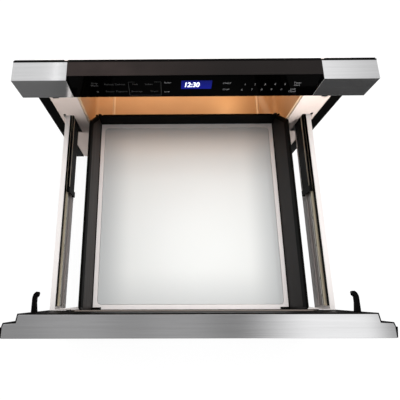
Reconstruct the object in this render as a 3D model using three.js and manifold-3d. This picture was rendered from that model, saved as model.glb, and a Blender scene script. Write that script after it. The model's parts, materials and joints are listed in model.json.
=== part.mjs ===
// Built-in microwave drawer, shown with its drawer pulled out.
//
// Millimetres. +X is right, +Y is back into the cabinet, +Z is up. The origin is on the underside
// of the base pan, at its middle. The cabinet's front plate lies in the plane y = plateY, the
// control head stands in front of it, and the drawer is open by drawerTravel.

import * as THREE from 'three';
import { mergeVertices } from 'three/addons/utils/BufferGeometryUtils.js';
import Module from 'manifold-3d';

const wasm = await Module();
wasm.setup();

// ---------------------------------------------------------------- driving dimensions

const sheet = 1.2;              // steel sheet of the cabinet, the cavity and the brackets
const thinSheet = 1.0;          // outer cover, back panel, steel front and rails
const seat = 0.3;               // clearance between two pieces that rest on or face each other
const circleSteps = 28;         // sides of a round piece

const unitWidth = 606;
const unitHeight = 403;
const bodyInset = 24;           // body's side behind the unit's side
const headRise = 26;            // head's top above the body's top
const bodyDepth = 550;          // front plate's face to the back panel's face
const drawerTravel = 406;

const panFlange = 25;           // height of the base pan's upturned edge
const ventSlot = 4;             // height of one vent slot
const ventPitch = 10;
const ventCount = 9;
const ventLength = 70;

const ventBack = 40;            // side vents in front of the cabinet's back
const sideVentZ = 60;
const outletVentZ = 215;
const outletVentLength = 90;

const pillarWidth = 21;
const plateClear = 2;           // plate's lower edge above the floor
const plateTopDrop = 7;         // plate's upper edge below the unit's top
const plateCorner = 6;
const pillarDepth = 13;
const pillarWall = 1.5;
const pillarProud = 2;          // pillar's face in front of the plate's face
const pillarFoot = 5;

const slideSpace = 57;          // between the cavity's side and the body's side
const ceilingSpace = 26;        // between the cavity's ceiling and the body's top
const cavityDepth = 424;
const cavityFloorZ = 151;
const cavityMouthMargin = 4;    // plate opening beyond the cavity's side wall
const cavityFlange = 18;

const headReach = 44;           // control head's face in front of the front plate
const headHeight = 48;
const headDepth = 35.5;
const endBlockWidth = 91;
const carrierTopDepth = 3;      // black strip seen behind the head's top face
const carrierDepth = 8.5;
const carrierNotch = 6;
const lipHeight = 18;           // black lip that closes the gap under the head
const lipReach = 28;
const lipWall = 1.5;
const glassSetback = 8.4;       // how far the control glass leans back at its top edge
const glassThickness = 3;
const glassMitre = 3.6;         // run of the bevel on the glass's upper edge, under the housing's nose
const housingWall = 2;
const displayWidth = 58;
const displayHeight = 22;
const displayDepth = 8;
const displayX = 8;
const boardWidth = 360;
const boardThickness = 1.6;
const boardBehindGlass = 14;
const relaySize = [22, 10, 16];
const relayX = -109;
const socketSize = [40, 8, 10];
const socketX = 110;
const boardPartRise = 8;        // relay and socket above the board's lower edge

const railHeight = 45;          // cabinet member of a slide
const railRise = 17;            // cabinet rail above the cavity floor
const railSpace = 27;           // between the cabinet rail's web and the body's side
const slideThickness = 9.2;     // from the cabinet rail's web to the bracket's web
const cabinetRailLength = 420;
const drawerRailLength = 450;
const railStop = 1;             // clip of the shut middle rail to the cabinet rail's front end
const railLip = 5.2;
const middleHeight = 39;
const middleLip = 4.6;
const middleLength = 420;
const middleReach = 174;        // front end of the open middle rail in front of the plate
const drawerRailHeight = 27;
const drawerRailLip = 3.8;
const cageThickness = 0.4;
const cageLength = 196;
const clipLength = 12;
const clipThickness = 1.6;
const mountHeight = 60;

const bracketRise = 4;          // bracket's flange above the cabinet rail
const bracketHeight = 69;
const bracketFlange = 10;
const bracketRear = 50;         // rear end of the open bracket behind the front plate
const bracketTabWidth = 21;
const gussetRise = 32;          // gusset above the bracket's lower edge
const gussetReach = 37;
const gussetRoot = 3;           // gusset's depth beside the web
const railInset = 8;            // drawer rail's front end behind the inner door
const railHoleSpace = 3.3;      // opening in the plate beside the bracket's flange
const railHoleMargin = 4;       // opening in the plate above and below the bracket

const wingWidth = 23.3;         // thinner ends of the drawer front, over the pillars
const frontDepth = 35.3;
const wingDepth = 21.6;
const wingSlant = 0.8;          // how much deeper the wing is at its inner end
const stepRun = 2.2;            // slope between the two
const wingCornerRun = 2;        // wing's outer back corner, cut back along and across the wing
const wingCornerDepth = 4.7;
const frontGap = 21;            // drawer front's top edge below the head's underside
const frontFoot = 8;
const edgeBand = 1.8;           // black inner door showing round the steel front's back edge
const innerDoorDepth = 14;
const endCapBack = 4.3;
const endCapFront = 2;

const hookDrop = 45;            // hook's underside below the front's top edge
const hookHeight = 8;
const hookInset = 9;            // hook's pin inside the body's side
const hookPinDepth = 6;         // hook's pin in front of the steel front's back edge
const hookLength = 34;
const hookRoot = 9.5;
const hookNeck = 6;
const hookHead = 9;
const hookBarb = 10;
const hookPinRadius = 2;
const hookPinHeight = 16;       // pin above and below the hook
const slotMargin = 1.5;         // latch slot beside the hook
const slotBelow = 4;
const slotAbove = 6;
const switchDepth = 44;
const switchWall = 4;

const binSpace = 22;            // between the bin's floor and the cavity's side
const binDepth = 417.4;
const ledgeWidth = 9.5;
const ledgeRise = 21;           // bin's ledge above the cavity floor
const trayThickness = 14;
const trayWeb = 2;
const glassFloorThickness = 6;
const glassFloorSink = 0.6;
const glassCorner = 8;
const binWallHeight = 75;
const binWallLean = 5;
const binRim = 4.2;
const binRimDrop = 11;
const binWallThickness = 3.4;
const binBackHeight = 35.5;
const binBackThickness = 5;
const binBackFall = 33;         // length over which the side wall falls to the back wall's height
const peakWidth = 5;
const peakHeight = 3;
const binFrontFall = 6;

const toothModule = 1.75;
const pinionTeeth = 16;
const pressureAngle = 20 * Math.PI / 180;
const addendum = 1.5;
const dedendum = 1.8;
const toothBacklash = 0.35;
const gearWidth = 6;
const rackBack = 7;             // solid height above the rack's teeth
const pinionY = 25;             // pinion's axis behind the front plate
const pinionDrop = 7.5;         // pinion's axis below the cavity floor
const shaftRadius = 3;
const shaftClear = 0.1;
const shaftEngagement = 12;
const gearboxSpace = 7;         // between the gearbox and the cabinet rail's web
const gearboxWidth = 40;
const gearboxDepth = 34;
const gearboxHeight = 30;
const driveMotorRadius = 13;
const driveMotorLength = 55;

const wellSize = 190;
const wellDepth = 31.5;
const wellFlange = 12;
const wellY = -60;
const coverThickness = 4;
const antennaRadius = 85;
const antennaThickness = 2;
const antennaHeight = 14;       // antenna above the well's bottom
const antennaSlot = 16;
const antennaSlotInner = 28;    // slots from this radius
const antennaSlotOuter = 66;    // to this one
const antennaSlotTurn = 0.3;
const antennaShaft = 4;
const antennaShaftGrip = 8;     // shaft's length inside its motor
const guideWidth = 100;
const guideHeight = 35.6;
const guideFront = -120;
const guideBack = 238;
const feedRadius = 12;
const antennaMotorRadius = 25;
const antennaMotorHeight = 20;
const motorEar = 10;            // fixing ears of the antenna motor
const motorEarWidth = 14;
const motorEarThickness = 2;
const magnetronY = 203;
const magnetronWidth = 92;
const magnetronDepth = 66;
const magnetronHeight = 66;
const magnetronFins = 6;
const magnetronYoke = 2;
const magnetronCore = 22;
const filterBox = [64, 54, 22]; // magnetron's filter box
const domeRadius = 9;
const domeLength = 22;
const transformerSize = [96, 72, 82];
const transformerPlace = [-190, 215];
const coilProud = 14;
const coilInset = 16;           // coil's sides inside the iron core's
const footReach = 10;
const footInset = 6;
const footThickness = 3;
const capacitorSize = [54, 34, 92];
const capacitorPlace = [-92, 222];
const capacitorTab = [6, 2, 9];
const capacitorTabPitch = 20;
const fanPlace = [165, 92];
const fanFrame = 132;
const fanDepth = 38;
const fanRadius = 58;
const fanHub = 19;
const fanBlades = 7;
const fanClear = 3;             // bore beyond the blades' tips
const fanChord = 28;
const fanPitchAngle = 0.6;
const bladeThickness = 2;
const bladeInset = 8;           // hub behind the frame's face
const hubLength = 22;
const armWidth = 8;
const armThickness = 4;
const fanShaftGrip = 12;        // shaft's length inside its motor
const fanMotorRadius = 24;
const fanMotorLength = 30;
const filterSize = [110, 80];
const filterPlace = [140, 60];
const filterStandoff = 10;
const standoffRadius = 3;
const standoffInset = 6;
const chokeRadius = 14;
const chokeHeight = 19;
const chokeX = -25;             // from the board's middle
const filmCapacitor = [26, 14, 17];
const filmCapacitorX = 27;
const filmCapacitorY = 20;
const lampX = 150;
const lampDrop = 51;            // lamp's axis below the cavity's ceiling
const lampRadius = 11;
const lampHoleClear = 2;
const lampBase = 36;
const lampBaseThickness = 3;
const lampSocket = 26;
const bulbRadius = 9;
const bulbReach = 6;            // bulb's tip inside the cavity
const glandPlace = [40, 50];
const glandRadius = 9;
const glandBore = 5;
const glandFlange = 13;
const glandFlangeThickness = 2;
const glandNut = 12;
const glandNutDepth = 6;

// ---------------------------------------------------------------- planes worked out from them

const bodyWidth = unitWidth - 2 * bodyInset;
const bodyHeight = unitHeight - headRise;
const plateWidth = unitWidth - 2 * pillarWidth;
const frontWidth = unitWidth - 2 * wingWidth;
const cavityWidth = bodyWidth - 2 * slideSpace;
const cavityHeight = bodyHeight - ceilingSpace - cavityFloorZ;
const binWidth = cavityWidth - 2 * binSpace;
const plateY = -bodyDepth / 2;
const plateBack = plateY + sheet;
const shellFront = plateBack + seat;     // where the sheet pieces behind the plate begin
const bodyBack = bodyDepth / 2;
const panelY = bodyBack - thinSheet;
const coverInner = bodyWidth / 2 - thinSheet;
const headFront = plateY - headReach;
const headBack = headFront + headDepth;
const headBottom = unitHeight - headHeight;
const blockInner = unitWidth / 2 - endBlockWidth;
const cavityCeilingZ = cavityFloorZ + cavityHeight;
const cavityBack = plateBack + cavityDepth;
const panTop = sheet + seat;
const cavityUnder = cavityFloorZ - sheet - seat;
const frontFace = headFront - drawerTravel;
const frontBack = frontFace + frontDepth;
const frontTop = headBottom - frontGap;
const innerDoorBack = frontBack + edgeBand;
const bracketRearY = plateY + bracketRear;
const railInnerX = bodyWidth / 2 - railSpace;
const railBottomZ = cavityFloorZ + railRise;
const bracketWebX = railInnerX + slideThickness;
const bracketTopZ = railBottomZ + railHeight + bracketRise;
const railHoleOuterX = bracketWebX + bracketFlange + railHoleSpace;
const hookX = bodyWidth / 2 - hookInset;
const hookZ = frontTop - hookDrop;
const hookPinY = frontBack - hookPinDepth;
const hookPinZ = [hookZ - hookPinHeight, hookZ + hookHeight + hookPinHeight];
const ledgeZ = cavityFloorZ + ledgeRise;
const rackX = bracketWebX + sheet + seat;
const pinionZ = cavityFloorZ - pinionDrop;
const rackPitchZ = pinionZ + toothModule * pinionTeeth / 2;
const gearPitch = Math.PI * toothModule;
const wellBottom = cavityUnder - wellDepth;
const lampPlace = [lampX, cavityFloorZ + cavityHeight - lampDrop];
const guideTop = wellBottom - seat;
const guideBottom = guideTop - guideHeight;

// ---------------------------------------------------------------- making and joining solids

function clean(geometry) {
  const plain = geometry.clone();
  plain.deleteAttribute('normal');
  plain.deleteAttribute('uv');
  return mergeVertices(plain, 1e-4);
}

function toSolid(geometry) {
  const merged = clean(geometry);
  return new wasm.Manifold(new wasm.Mesh({
    numProp: 3,
    vertProperties: new Float32Array(merged.attributes.position.array),
    triVerts: new Uint32Array(merged.index.array),
  }));
}

function fromSolid(solid) {
  const mesh = solid.getMesh();
  const geometry = new THREE.BufferGeometry();
  geometry.setAttribute('position', new THREE.BufferAttribute(mesh.vertProperties, 3));
  geometry.setIndex(new THREE.BufferAttribute(mesh.triVerts, 1));
  return geometry;
}

function cut(body, ...tools) {
  return fromSolid(tools.reduce((solid, tool) => solid.subtract(toSolid(tool)), toSolid(body)));
}

function join(first, ...others) {
  return fromSolid(others.reduce((solid, other) => solid.add(toSolid(other)), toSolid(first)));
}

// A box from its two ends along each axis.
function block([x0, x1], [y0, y1], [z0, z1]) {
  const box = new THREE.BoxGeometry(x1 - x0, y1 - y0, z1 - z0);
  return box.translate((x0 + x1) / 2, (y0 + y1) / 2, (z0 + z1) / 2);
}

function shapeOf(points) {
  return new THREE.Shape(points.map(([a, b]) => new THREE.Vector2(a, b)));
}

function extrude(shape, depth) {
  return new THREE.ExtrudeGeometry(shape, { depth, bevelEnabled: false, curveSegments: 5 });
}

// Outline in x and y, carried from z0 to z1.
function prismZ(outline, z0, z1) {
  const shape = Array.isArray(outline) ? shapeOf(outline) : outline;
  return extrude(shape, z1 - z0).translate(0, 0, z0);
}

// Outline in x and z, carried from y0 to y1.
function prismY(outline, y0, y1) {
  const shape = Array.isArray(outline) ? shapeOf(outline) : outline;
  return extrude(shape, y1 - y0).rotateX(Math.PI / 2).translate(0, y1, 0);
}

// Outline in y and z, carried from x0 to x1.
function prismX(outline, x0, x1) {
  const shape = Array.isArray(outline) ? shapeOf(outline) : outline;
  const turn = new THREE.Matrix4().set(0, 0, 1, x0, 1, 0, 0, 0, 0, 1, 0, 0, 0, 0, 0, 1);
  return extrude(shape, x1 - x0).applyMatrix4(turn);
}

// Cylinders along each axis, from one end to the other.
function rodZ(radius, [x, y], z0, z1, steps = circleSteps) {
  const rod = new THREE.CylinderGeometry(radius, radius, z1 - z0, steps);
  return rod.rotateX(Math.PI / 2).translate(x, y, (z0 + z1) / 2);
}

function rodY(radius, [x, z], y0, y1, steps = circleSteps) {
  const rod = new THREE.CylinderGeometry(radius, radius, y1 - y0, steps);
  return rod.translate(x, (y0 + y1) / 2, z);
}

function rodX(radius, [y, z], x0, x1, steps = circleSteps) {
  const rod = new THREE.CylinderGeometry(radius, radius, x1 - x0, steps);
  return rod.rotateZ(Math.PI / 2).translate((x0 + x1) / 2, y, z);
}

// Rectangle with round corners, as an outline.
function roundedOutline([a0, a1], [b0, b1], radius) {
  const shape = new THREE.Shape();
  shape.moveTo(a0 + radius, b0);
  shape.lineTo(a1 - radius, b0);
  shape.absarc(a1 - radius, b0 + radius, radius, -Math.PI / 2, 0);
  shape.lineTo(a1, b1 - radius);
  shape.absarc(a1 - radius, b1 - radius, radius, 0, Math.PI / 2);
  shape.lineTo(a0 + radius, b1);
  shape.absarc(a0 + radius, b1 - radius, radius, Math.PI / 2, Math.PI);
  shape.lineTo(a0, b0 + radius);
  shape.absarc(a0 + radius, b0 + radius, radius, Math.PI, 1.5 * Math.PI);
  return shape;
}

function mirrorX(geometry) {
  const mirrored = clean(geometry);
  mirrored.scale(-1, 1, 1);
  const index = mirrored.index.array;
  for (let i = 0; i < index.length; i += 3) {
    [index[i + 1], index[i + 2]] = [index[i + 2], index[i + 1]];
  }
  return mirrored;
}

const group = new THREE.Group();

function add(name, geometry, material) {
  const mesh = new THREE.Mesh(geometry, material);
  mesh.name = name;
  group.add(mesh);
  return mesh;
}

// A piece on the right and its mirror image on the left.
function addPair(name, geometry, material) {
  add(`${name}_right`, geometry, material);
  add(`${name}_left`, mirrorX(geometry), material);
}

function finish(color, roughness, metalness) {
  return new THREE.MeshStandardMaterial({ color, roughness, metalness });
}

const brushedSteel = finish(0xb8b8b8, 0.35, 1);
const zincSteel = finish(0x9c9a90, 0.4, 1);
const galvanised = finish(0xa9adb0, 0.5, 1);
const whitePaint = finish(0xd8cec8, 0.45, 0);
const cavityPaint = finish(0xc9b9a6, 0.4, 0.2);
const blackPlastic = finish(0x121212, 0.45, 0);
const greyPlastic = finish(0x3c3b3b, 0.5, 0);
const blackGlass = finish(0x050505, 0.08, 0);
const paleGlass = finish(0xc9cac8, 0.15, 0);
const ceramic = finish(0xe4e0d6, 0.5, 0);
const copper = finish(0xb06a3b, 0.4, 1);
const darkIron = finish(0x4a4a4c, 0.6, 0.8);
const boardGreen = finish(0x1d5b3a, 0.6, 0);

// ---------------------------------------------------------------- cabinet shell

// Tray of galvanised sheet that the whole unit stands on.
function basePan() {
  const halfWidth = coverInner - seat;
  const outside = block([-halfWidth, halfWidth], [shellFront, panelY - seat], [0, panFlange]);
  const inside = block(
    [-halfWidth + sheet, halfWidth - sheet],
    [shellFront + sheet, panelY - seat - sheet],
    [sheet, panFlange + 1],
  );
  return cut(outside, inside);
}

// Slots in one row, one above the other, cut along x through a side wall or along y through the back.
function ventSlots(makeSlot, firstZ) {
  return Array.from({ length: ventCount }, (_, i) => {
    const z = firstZ + i * ventPitch;
    return makeSlot([z, z + ventSlot]);
  });
}

// Wrapper of thin sheet over the top and both sides, open below, in front and at the back.
function outerCover() {
  const half = bodyWidth / 2;
  const outside = block([-half, half], [shellFront, bodyBack], [panTop, bodyHeight]);
  const inside = block([-coverInner, coverInner], [plateBack, bodyBack + 1], [0, bodyHeight - thinSheet]);
  const ventY = [bodyBack - ventBack - ventLength, bodyBack - ventBack];
  const slots = ventSlots((z) => block([-half - 1, half + 1], ventY, z), sideVentZ);
  return cut(outside, inside, ...slots);
}

function backPanel() {
  const half = coverInner - seat;
  const panel = block([-half, half], [panelY, bodyBack], [panTop, bodyHeight - thinSheet - seat]);
  const fanSlots = ventSlots(
    (z) => block([fanPlace[0] - ventLength / 2, fanPlace[0] + ventLength / 2], [panelY - 1, bodyBack + 1], z),
    fanPlace[1] - ventPitch * (ventCount - 1) / 2 - ventSlot / 2,
  );
  const outletSlots = ventSlots(
    (z) => block([-outletVentLength / 2, outletVentLength / 2], [panelY - 1, bodyBack + 1], z),
    outletVentZ,
  );
  const cordHole = rodY(glandRadius, glandPlace, panelY - 1, bodyBack + 1);
  return cut(panel, ...fanSlots, ...outletSlots, cordHole);
}

// Oven cavity of one folded and welded sheet, open in front, with a flange behind the front plate.
function cavityBox() {
  const inner = cavityWidth / 2;
  const outer = inner + sheet;
  const shell = block(
    [-outer, outer],
    [shellFront, cavityBack + sheet],
    [cavityFloorZ - sheet, cavityCeilingZ + sheet],
  );
  const flange = block(
    [-outer - cavityFlange, outer + cavityFlange],
    [shellFront, shellFront + sheet],
    [cavityFloorZ - sheet, cavityCeilingZ + sheet + cavityFlange],
  );
  const inside = block([-inner, inner], [plateBack, cavityBack], [cavityFloorZ, cavityCeilingZ]);
  const coverHalf = wellSize / 2 + wellFlange / 2;
  const feedHole = block(
    [-coverHalf, coverHalf],
    [wellY - coverHalf, wellY + coverHalf],
    [cavityFloorZ - sheet - 1, cavityFloorZ + 1],
  );
  const lampHole = rodY(lampRadius + lampHoleClear, lampPlace, cavityBack - 1, cavityBack + sheet + 1);
  return cut(join(shell, flange), inside, feedHole, lampHole);
}

const hookSlotX = [hookX - hookRoot / 2 - slotMargin, hookX + hookRoot / 2 + slotMargin];
const hookSlotZ = [hookZ - slotBelow, hookZ + hookHeight + slotAbove];

// Painted plate that closes the cabinet's front, with the openings for all that passes through it.
function frontPlate() {
  const half = plateWidth / 2;
  const face = prismY(
    roundedOutline([-half, half], [plateClear, unitHeight - plateTopDrop], plateCorner),
    plateY,
    plateBack,
  );
  const mouth = cavityWidth / 2 + cavityMouthMargin;
  const through = [plateY - 1, plateBack + 1];
  const openings = [block([-mouth, mouth], through, [cavityFloorZ, cavityCeilingZ])];
  const holeZ = [bracketTopZ - bracketHeight - railHoleMargin, bracketTopZ + railHoleMargin];
  for (const side of [-1, 1]) {
    const mirrored = ([a, b]) => [side * a, side * b].sort((p, q) => p - q);
    openings.push(block(mirrored([railInnerX, railHoleOuterX]), through, holeZ));
    openings.push(block(mirrored(hookSlotX), through, hookSlotZ));
  }
  return cut(face, ...openings);
}

// Black trim in front of the plate's edge: a channel whose inner leg hooks behind the plate.
function pillar() {
  const inner = plateWidth / 2 + seat;
  const outer = unitWidth / 2;
  const front = plateY - pillarProud;
  const back = front + pillarDepth;
  const tabY = plateBack + seat;
  const tabInner = bodyWidth / 2 + seat;
  const outline = [
    [inner, front], [outer, front], [outer, back], [outer - pillarWall, back],
    [outer - pillarWall, front + pillarWall], [inner + pillarWall, front + pillarWall],
    [inner + pillarWall, tabY + pillarWall], [tabInner, tabY + pillarWall],
    [tabInner, tabY], [inner, tabY],
  ];
  return prismZ(outline, pillarFoot, headBottom - lipHeight - seat);
}

// ---------------------------------------------------------------- control head

// Black moulded strip screwed to the front plate. It carries the head and closes the gap below it.
function headCarrier() {
  const back = plateY - seat;
  const web = plateY - carrierDepth;
  const top = unitHeight;
  const lipFront = plateY - lipReach;
  const lipBottom = headBottom - lipHeight;
  const outline = [
    [web, top], [web + carrierTopDepth, top], [web + carrierTopDepth, top - plateTopDrop],
    [back, top - plateTopDrop], [back, lipBottom], [lipFront, lipBottom],
    [lipFront, headBottom - seat], [lipFront + lipWall, headBottom - seat],
    [lipFront + lipWall, lipBottom + lipWall], [web, lipBottom + lipWall],
  ];
  const half = unitWidth / 2;
  const strip = prismX(outline, -half, half);
  const notches = [-1, 1].map((side) => {
    const middle = side * (blockInner + carrierNotch / 2);
    return block(
      [middle - carrierNotch / 2, middle + carrierNotch / 2],
      [web - 1, web + carrierTopDepth + 1],
      [top - plateTopDrop + 1, top + 1],
    );
  });
  return cut(strip, ...notches);
}

// Folded shell of brushed steel, open at the back.
function endBlock() {
  const outside = block([blockInner, unitWidth / 2], [headFront, headBack], [headBottom, unitHeight]);
  const inside = block(
    [blockInner + thinSheet, unitWidth / 2 - thinSheet],
    [headFront + thinSheet, headBack + 1],
    [headBottom + thinSheet, unitHeight - thinSheet],
  );
  return cut(outside, inside);
}

// The control glass leans back by glassSetback over the head's height.
const glassLength = Math.hypot(glassSetback, headHeight);
const glassNormal = [headHeight / glassLength, -glassSetback / glassLength];   // into the head, (y, z)
const glassTopY = headFront + glassSetback;

// A point in the head's section: depth is measured square to the glass, from its outer face.
function behindGlass(along, depth) {
  const share = along / headHeight;
  return [
    glassTopY - glassSetback * share + glassNormal[0] * depth,
    unitHeight - along + glassNormal[1] * depth,
  ];
}

function controlGlass() {
  const outline = [
    behindGlass(seat, 0), behindGlass(headHeight - seat, 0),
    behindGlass(headHeight - 1, glassThickness), behindGlass(glassMitre, glassThickness),
  ];
  return prismX(outline, -blockInner + seat, blockInner - seat);
}

const housingHalf = blockInner - seat;
const displayTop = 9.5;
const pocketInset = housingWall + seat;

// Moulded shell behind the glass: closed above, below and in front, open at the back.
function controlHousing() {
  const lead = glassThickness + seat;
  const bottomY = headFront + lead + 1.5;
  const outer = prismX([
    [glassTopY + seat, unitHeight], [headBack, unitHeight], [headBack, headBottom],
    [bottomY, headBottom], behindGlass(headHeight - 2, lead), behindGlass(glassMitre - seat, lead),
  ], -housingHalf, housingHalf);
  const pocket = prismX([
    [glassTopY + lead + housingWall, unitHeight - housingWall], [headBack + 1, unitHeight - housingWall],
    [headBack + 1, headBottom + housingWall], [bottomY + housingWall, headBottom + housingWall],
  ], -housingHalf + housingWall, housingHalf - housingWall);
  const window = prismX([
    behindGlass(displayTop - seat, 0), behindGlass(displayTop + displayHeight + seat, 0),
    behindGlass(displayTop + displayHeight + seat, displayDepth + lead),
    behindGlass(displayTop - seat, displayDepth + lead),
  ], displayX - displayWidth / 2 - seat, displayX + displayWidth / 2 + seat);
  return cut(outer, pocket, window);
}

function displayModule() {
  const near = glassThickness + 2 * seat;
  return prismX([
    behindGlass(displayTop, near), behindGlass(displayTop + displayHeight, near),
    behindGlass(displayTop + displayHeight, displayDepth), behindGlass(displayTop, displayDepth),
  ], displayX - displayWidth / 2, displayX + displayWidth / 2);
}

// Circuit board with its two tallest parts, standing in the housing's pocket.
function controlBoard() {
  const y = glassTopY + boardBehindGlass;
  const z = [headBottom + pocketInset, unitHeight - pocketInset];
  const board = block([-boardWidth / 2, boardWidth / 2], [y, y + boardThickness], z);
  const onBoard = ([width, depth, height], x) => block(
    [x - width / 2, x + width / 2],
    [y + boardThickness / 2, y + depth],
    [z[0] + boardPartRise, z[0] + boardPartRise + height],
  );
  return join(board, onBoard(relaySize, relayX), onBoard(socketSize, socketX));
}

// ---------------------------------------------------------------- slides

// C-section of thin sheet along y. The web stands at webX and the lips run towards +x or -x.
function railSection(webX, lip, bottom, height, thickness) {
  const out = Math.sign(lip) * thickness;
  return [
    [webX, bottom], [webX + lip, bottom], [webX + lip, bottom + thickness], [webX + out, bottom + thickness],
    [webX + out, bottom + height - thickness], [webX + lip, bottom + height - thickness],
    [webX + lip, bottom + height], [webX, bottom + height],
  ];
}

const railMiddleZ = railBottomZ + railHeight / 2;
const middleFront = plateY - middleReach;
// The shut drawer brings the middle rail back by half its travel, with its clip just in front.
const railFront = middleFront + drawerTravel / 2 + clipLength + railStop;

function cabinetRail() {
  const section = railSection(railInnerX, railLip, railBottomZ, railHeight, thinSheet);
  return prismY(section, railFront, railFront + cabinetRailLength);
}

// Channel welded to the cavity's side wall that carries the cabinet rail.
function slideMount() {
  const webX = railInnerX - seat;
  const cavitySide = cavityWidth / 2 + sheet + seat;
  const section = railSection(webX, cavitySide - webX, railMiddleZ - mountHeight / 2, mountHeight, sheet);
  return prismY(section, plateBack + 2 * sheet, cavityBack);
}

const middleX = railInnerX + thinSheet + 2 * seat + cageThickness;

function middleRail() {
  const section = railSection(middleX, middleLip, railMiddleZ - middleHeight / 2, middleHeight, thinSheet);
  return prismY(section, middleFront, middleFront + middleLength);
}

// Strip with lips that keeps the balls apart between the cabinet rail and the middle rail.
function ballCage() {
  const webX = railInnerX + thinSheet + seat;
  const height = (railHeight + middleHeight) / 2 - thinSheet + 0.6;
  const lipped = railSection(webX, railLip - 2, railMiddleZ - height / 2, height, cageThickness);
  const start = railFront + railStop;
  return prismY(lipped, start, start + cageLength);
}

// Black moulded clip on the front end of the middle rail.
function railClip() {
  const bottom = railMiddleZ - middleHeight / 2 - clipThickness - seat;
  const height = middleHeight + 2 * clipThickness + 2 * seat;
  const webX = middleX - clipThickness - seat;
  const section = railSection(webX, middleLip + clipThickness, bottom, height, clipThickness);
  return prismY(section, middleFront, middleFront + clipLength);
}

const drawerRailX = bracketWebX - seat;
const drawerRailFront = innerDoorBack + railInset;

function drawerRail() {
  const bottom = railMiddleZ - drawerRailHeight / 2;
  const section = railSection(drawerRailX, -drawerRailLip, bottom, drawerRailHeight, thinSheet);
  return prismY(section, drawerRailFront, drawerRailFront + drawerRailLength);
}

// Painted bracket that ties the drawer to the slide: an upright web with a flange on top, a tab
// against the inner door and a gusset towards the bin.
function drawerBracket() {
  const start = innerDoorBack + seat;
  const bottom = bracketTopZ - bracketHeight;
  const gussetZ = bottom + gussetRise;
  const web = block([bracketWebX, bracketWebX + sheet], [start, bracketRearY], [bottom, bracketTopZ]);
  const flange = block(
    [bracketWebX, bracketWebX + bracketFlange],
    [start, bracketRearY],
    [bracketTopZ - sheet, bracketTopZ],
  );
  const tab = block(
    [bracketWebX - bracketTabWidth, bracketWebX + sheet / 2],
    [start, start + sheet],
    [bottom, bracketTopZ],
  );
  const gusset = prismZ([
    [bracketWebX + sheet / 2, start], [bracketWebX + sheet / 2, start + gussetRoot],
    [bracketWebX - bracketTabWidth / 2, start + gussetRoot],
    [bracketWebX - gussetReach, plateY - drawerTravel - seat], [bracketWebX - gussetReach, start],
  ], gussetZ, gussetZ + sheet);
  return join(web, flange, tab, gusset);
}

// ---------------------------------------------------------------- drawer front

// Back edge of the front seen from above, from right to left and offset outwards by grow: full
// thickness in the middle, thinner wings at the ends with their outer corners cut back.
function backEdge(grow) {
  const half = frontWidth / 2 + grow;
  const end = unitWidth / 2 + grow;
  const wingEnd = frontFace + wingDepth - wingCornerDepth;
  const wingBack = frontFace + wingDepth + grow;
  const back = frontBack + grow;
  return [
    [end, wingEnd], [end - wingCornerRun, wingBack], [half + stepRun, wingBack + wingSlant], [half, back],
    [-half, back], [-half - stepRun, wingBack + wingSlant], [-end + wingCornerRun, wingBack], [-end, wingEnd],
  ];
}

// Folded steel skin, open at the back between the wings.
function drawerFront() {
  const end = unitWidth / 2;
  const skin = prismZ([[-end, frontFace], [end, frontFace], ...backEdge(0)], frontFoot, frontTop);
  const wings = block(
    [-unitWidth / 2 + thinSheet + wingCornerRun, unitWidth / 2 - thinSheet - wingCornerRun],
    [frontFace + thinSheet, frontFace + wingDepth - thinSheet],
    [frontFoot + thinSheet, frontTop - thinSheet],
  );
  const middle = block(
    [-frontWidth / 2 + thinSheet, frontWidth / 2 - thinSheet],
    [frontFace + thinSheet, frontBack + 1],
    [frontFoot + thinSheet, frontTop - thinSheet],
  );
  return cut(skin, wings, middle);
}

const innerHalf = frontWidth / 2 - thinSheet - seat;
const innerZ = [frontFoot + thinSheet + seat, frontTop - thinSheet - seat];

// Black moulded inner door: a plug inside the skin and a band that shows round its back edge.
function innerDoor() {
  const plug = block([-innerHalf, innerHalf], [frontBack - innerDoorDepth, innerDoorBack - seat], innerZ);
  const band = prismZ([...backEdge(seat).reverse(), ...backEdge(edgeBand)], frontFoot + 2, frontTop - 0.6);
  const hollow = block(
    [-innerHalf + 3, innerHalf - 3],
    [frontBack - innerDoorDepth - 1, frontBack - 3],
    [innerZ[0] + 3, innerZ[1] - 3],
  );
  const pins = [-1, 1].map((side) => rodZ(
    hookPinRadius + shaftClear,
    [side * hookX, hookPinY],
    hookPinZ[0] - seat,
    hookPinZ[1] + seat,
    16,
  ));
  const pockets = [-1, 1].map((side) => block(
    [side * hookX - hookRoot / 2 - slotMargin, side * hookX + hookRoot / 2 + slotMargin],
    [hookPinY - hookRoot / 2 - slotMargin, innerDoorBack + 1],
    [hookZ - seat, hookZ + hookHeight + seat],
  ));
  return cut(join(plug, band), hollow, ...pockets, ...pins);
}

// Black cap on the end face of the steel front, thinner towards the face.
function endCap() {
  const x = unitWidth / 2 + seat;
  const back = frontFace + wingDepth - wingCornerDepth - seat;
  return prismZ([
    [x, frontFace + 0.5], [x + endCapFront, frontFace + 0.5], [x + endCapBack, back], [x, back],
  ], frontFoot + 2, frontTop - 1);
}

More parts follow.
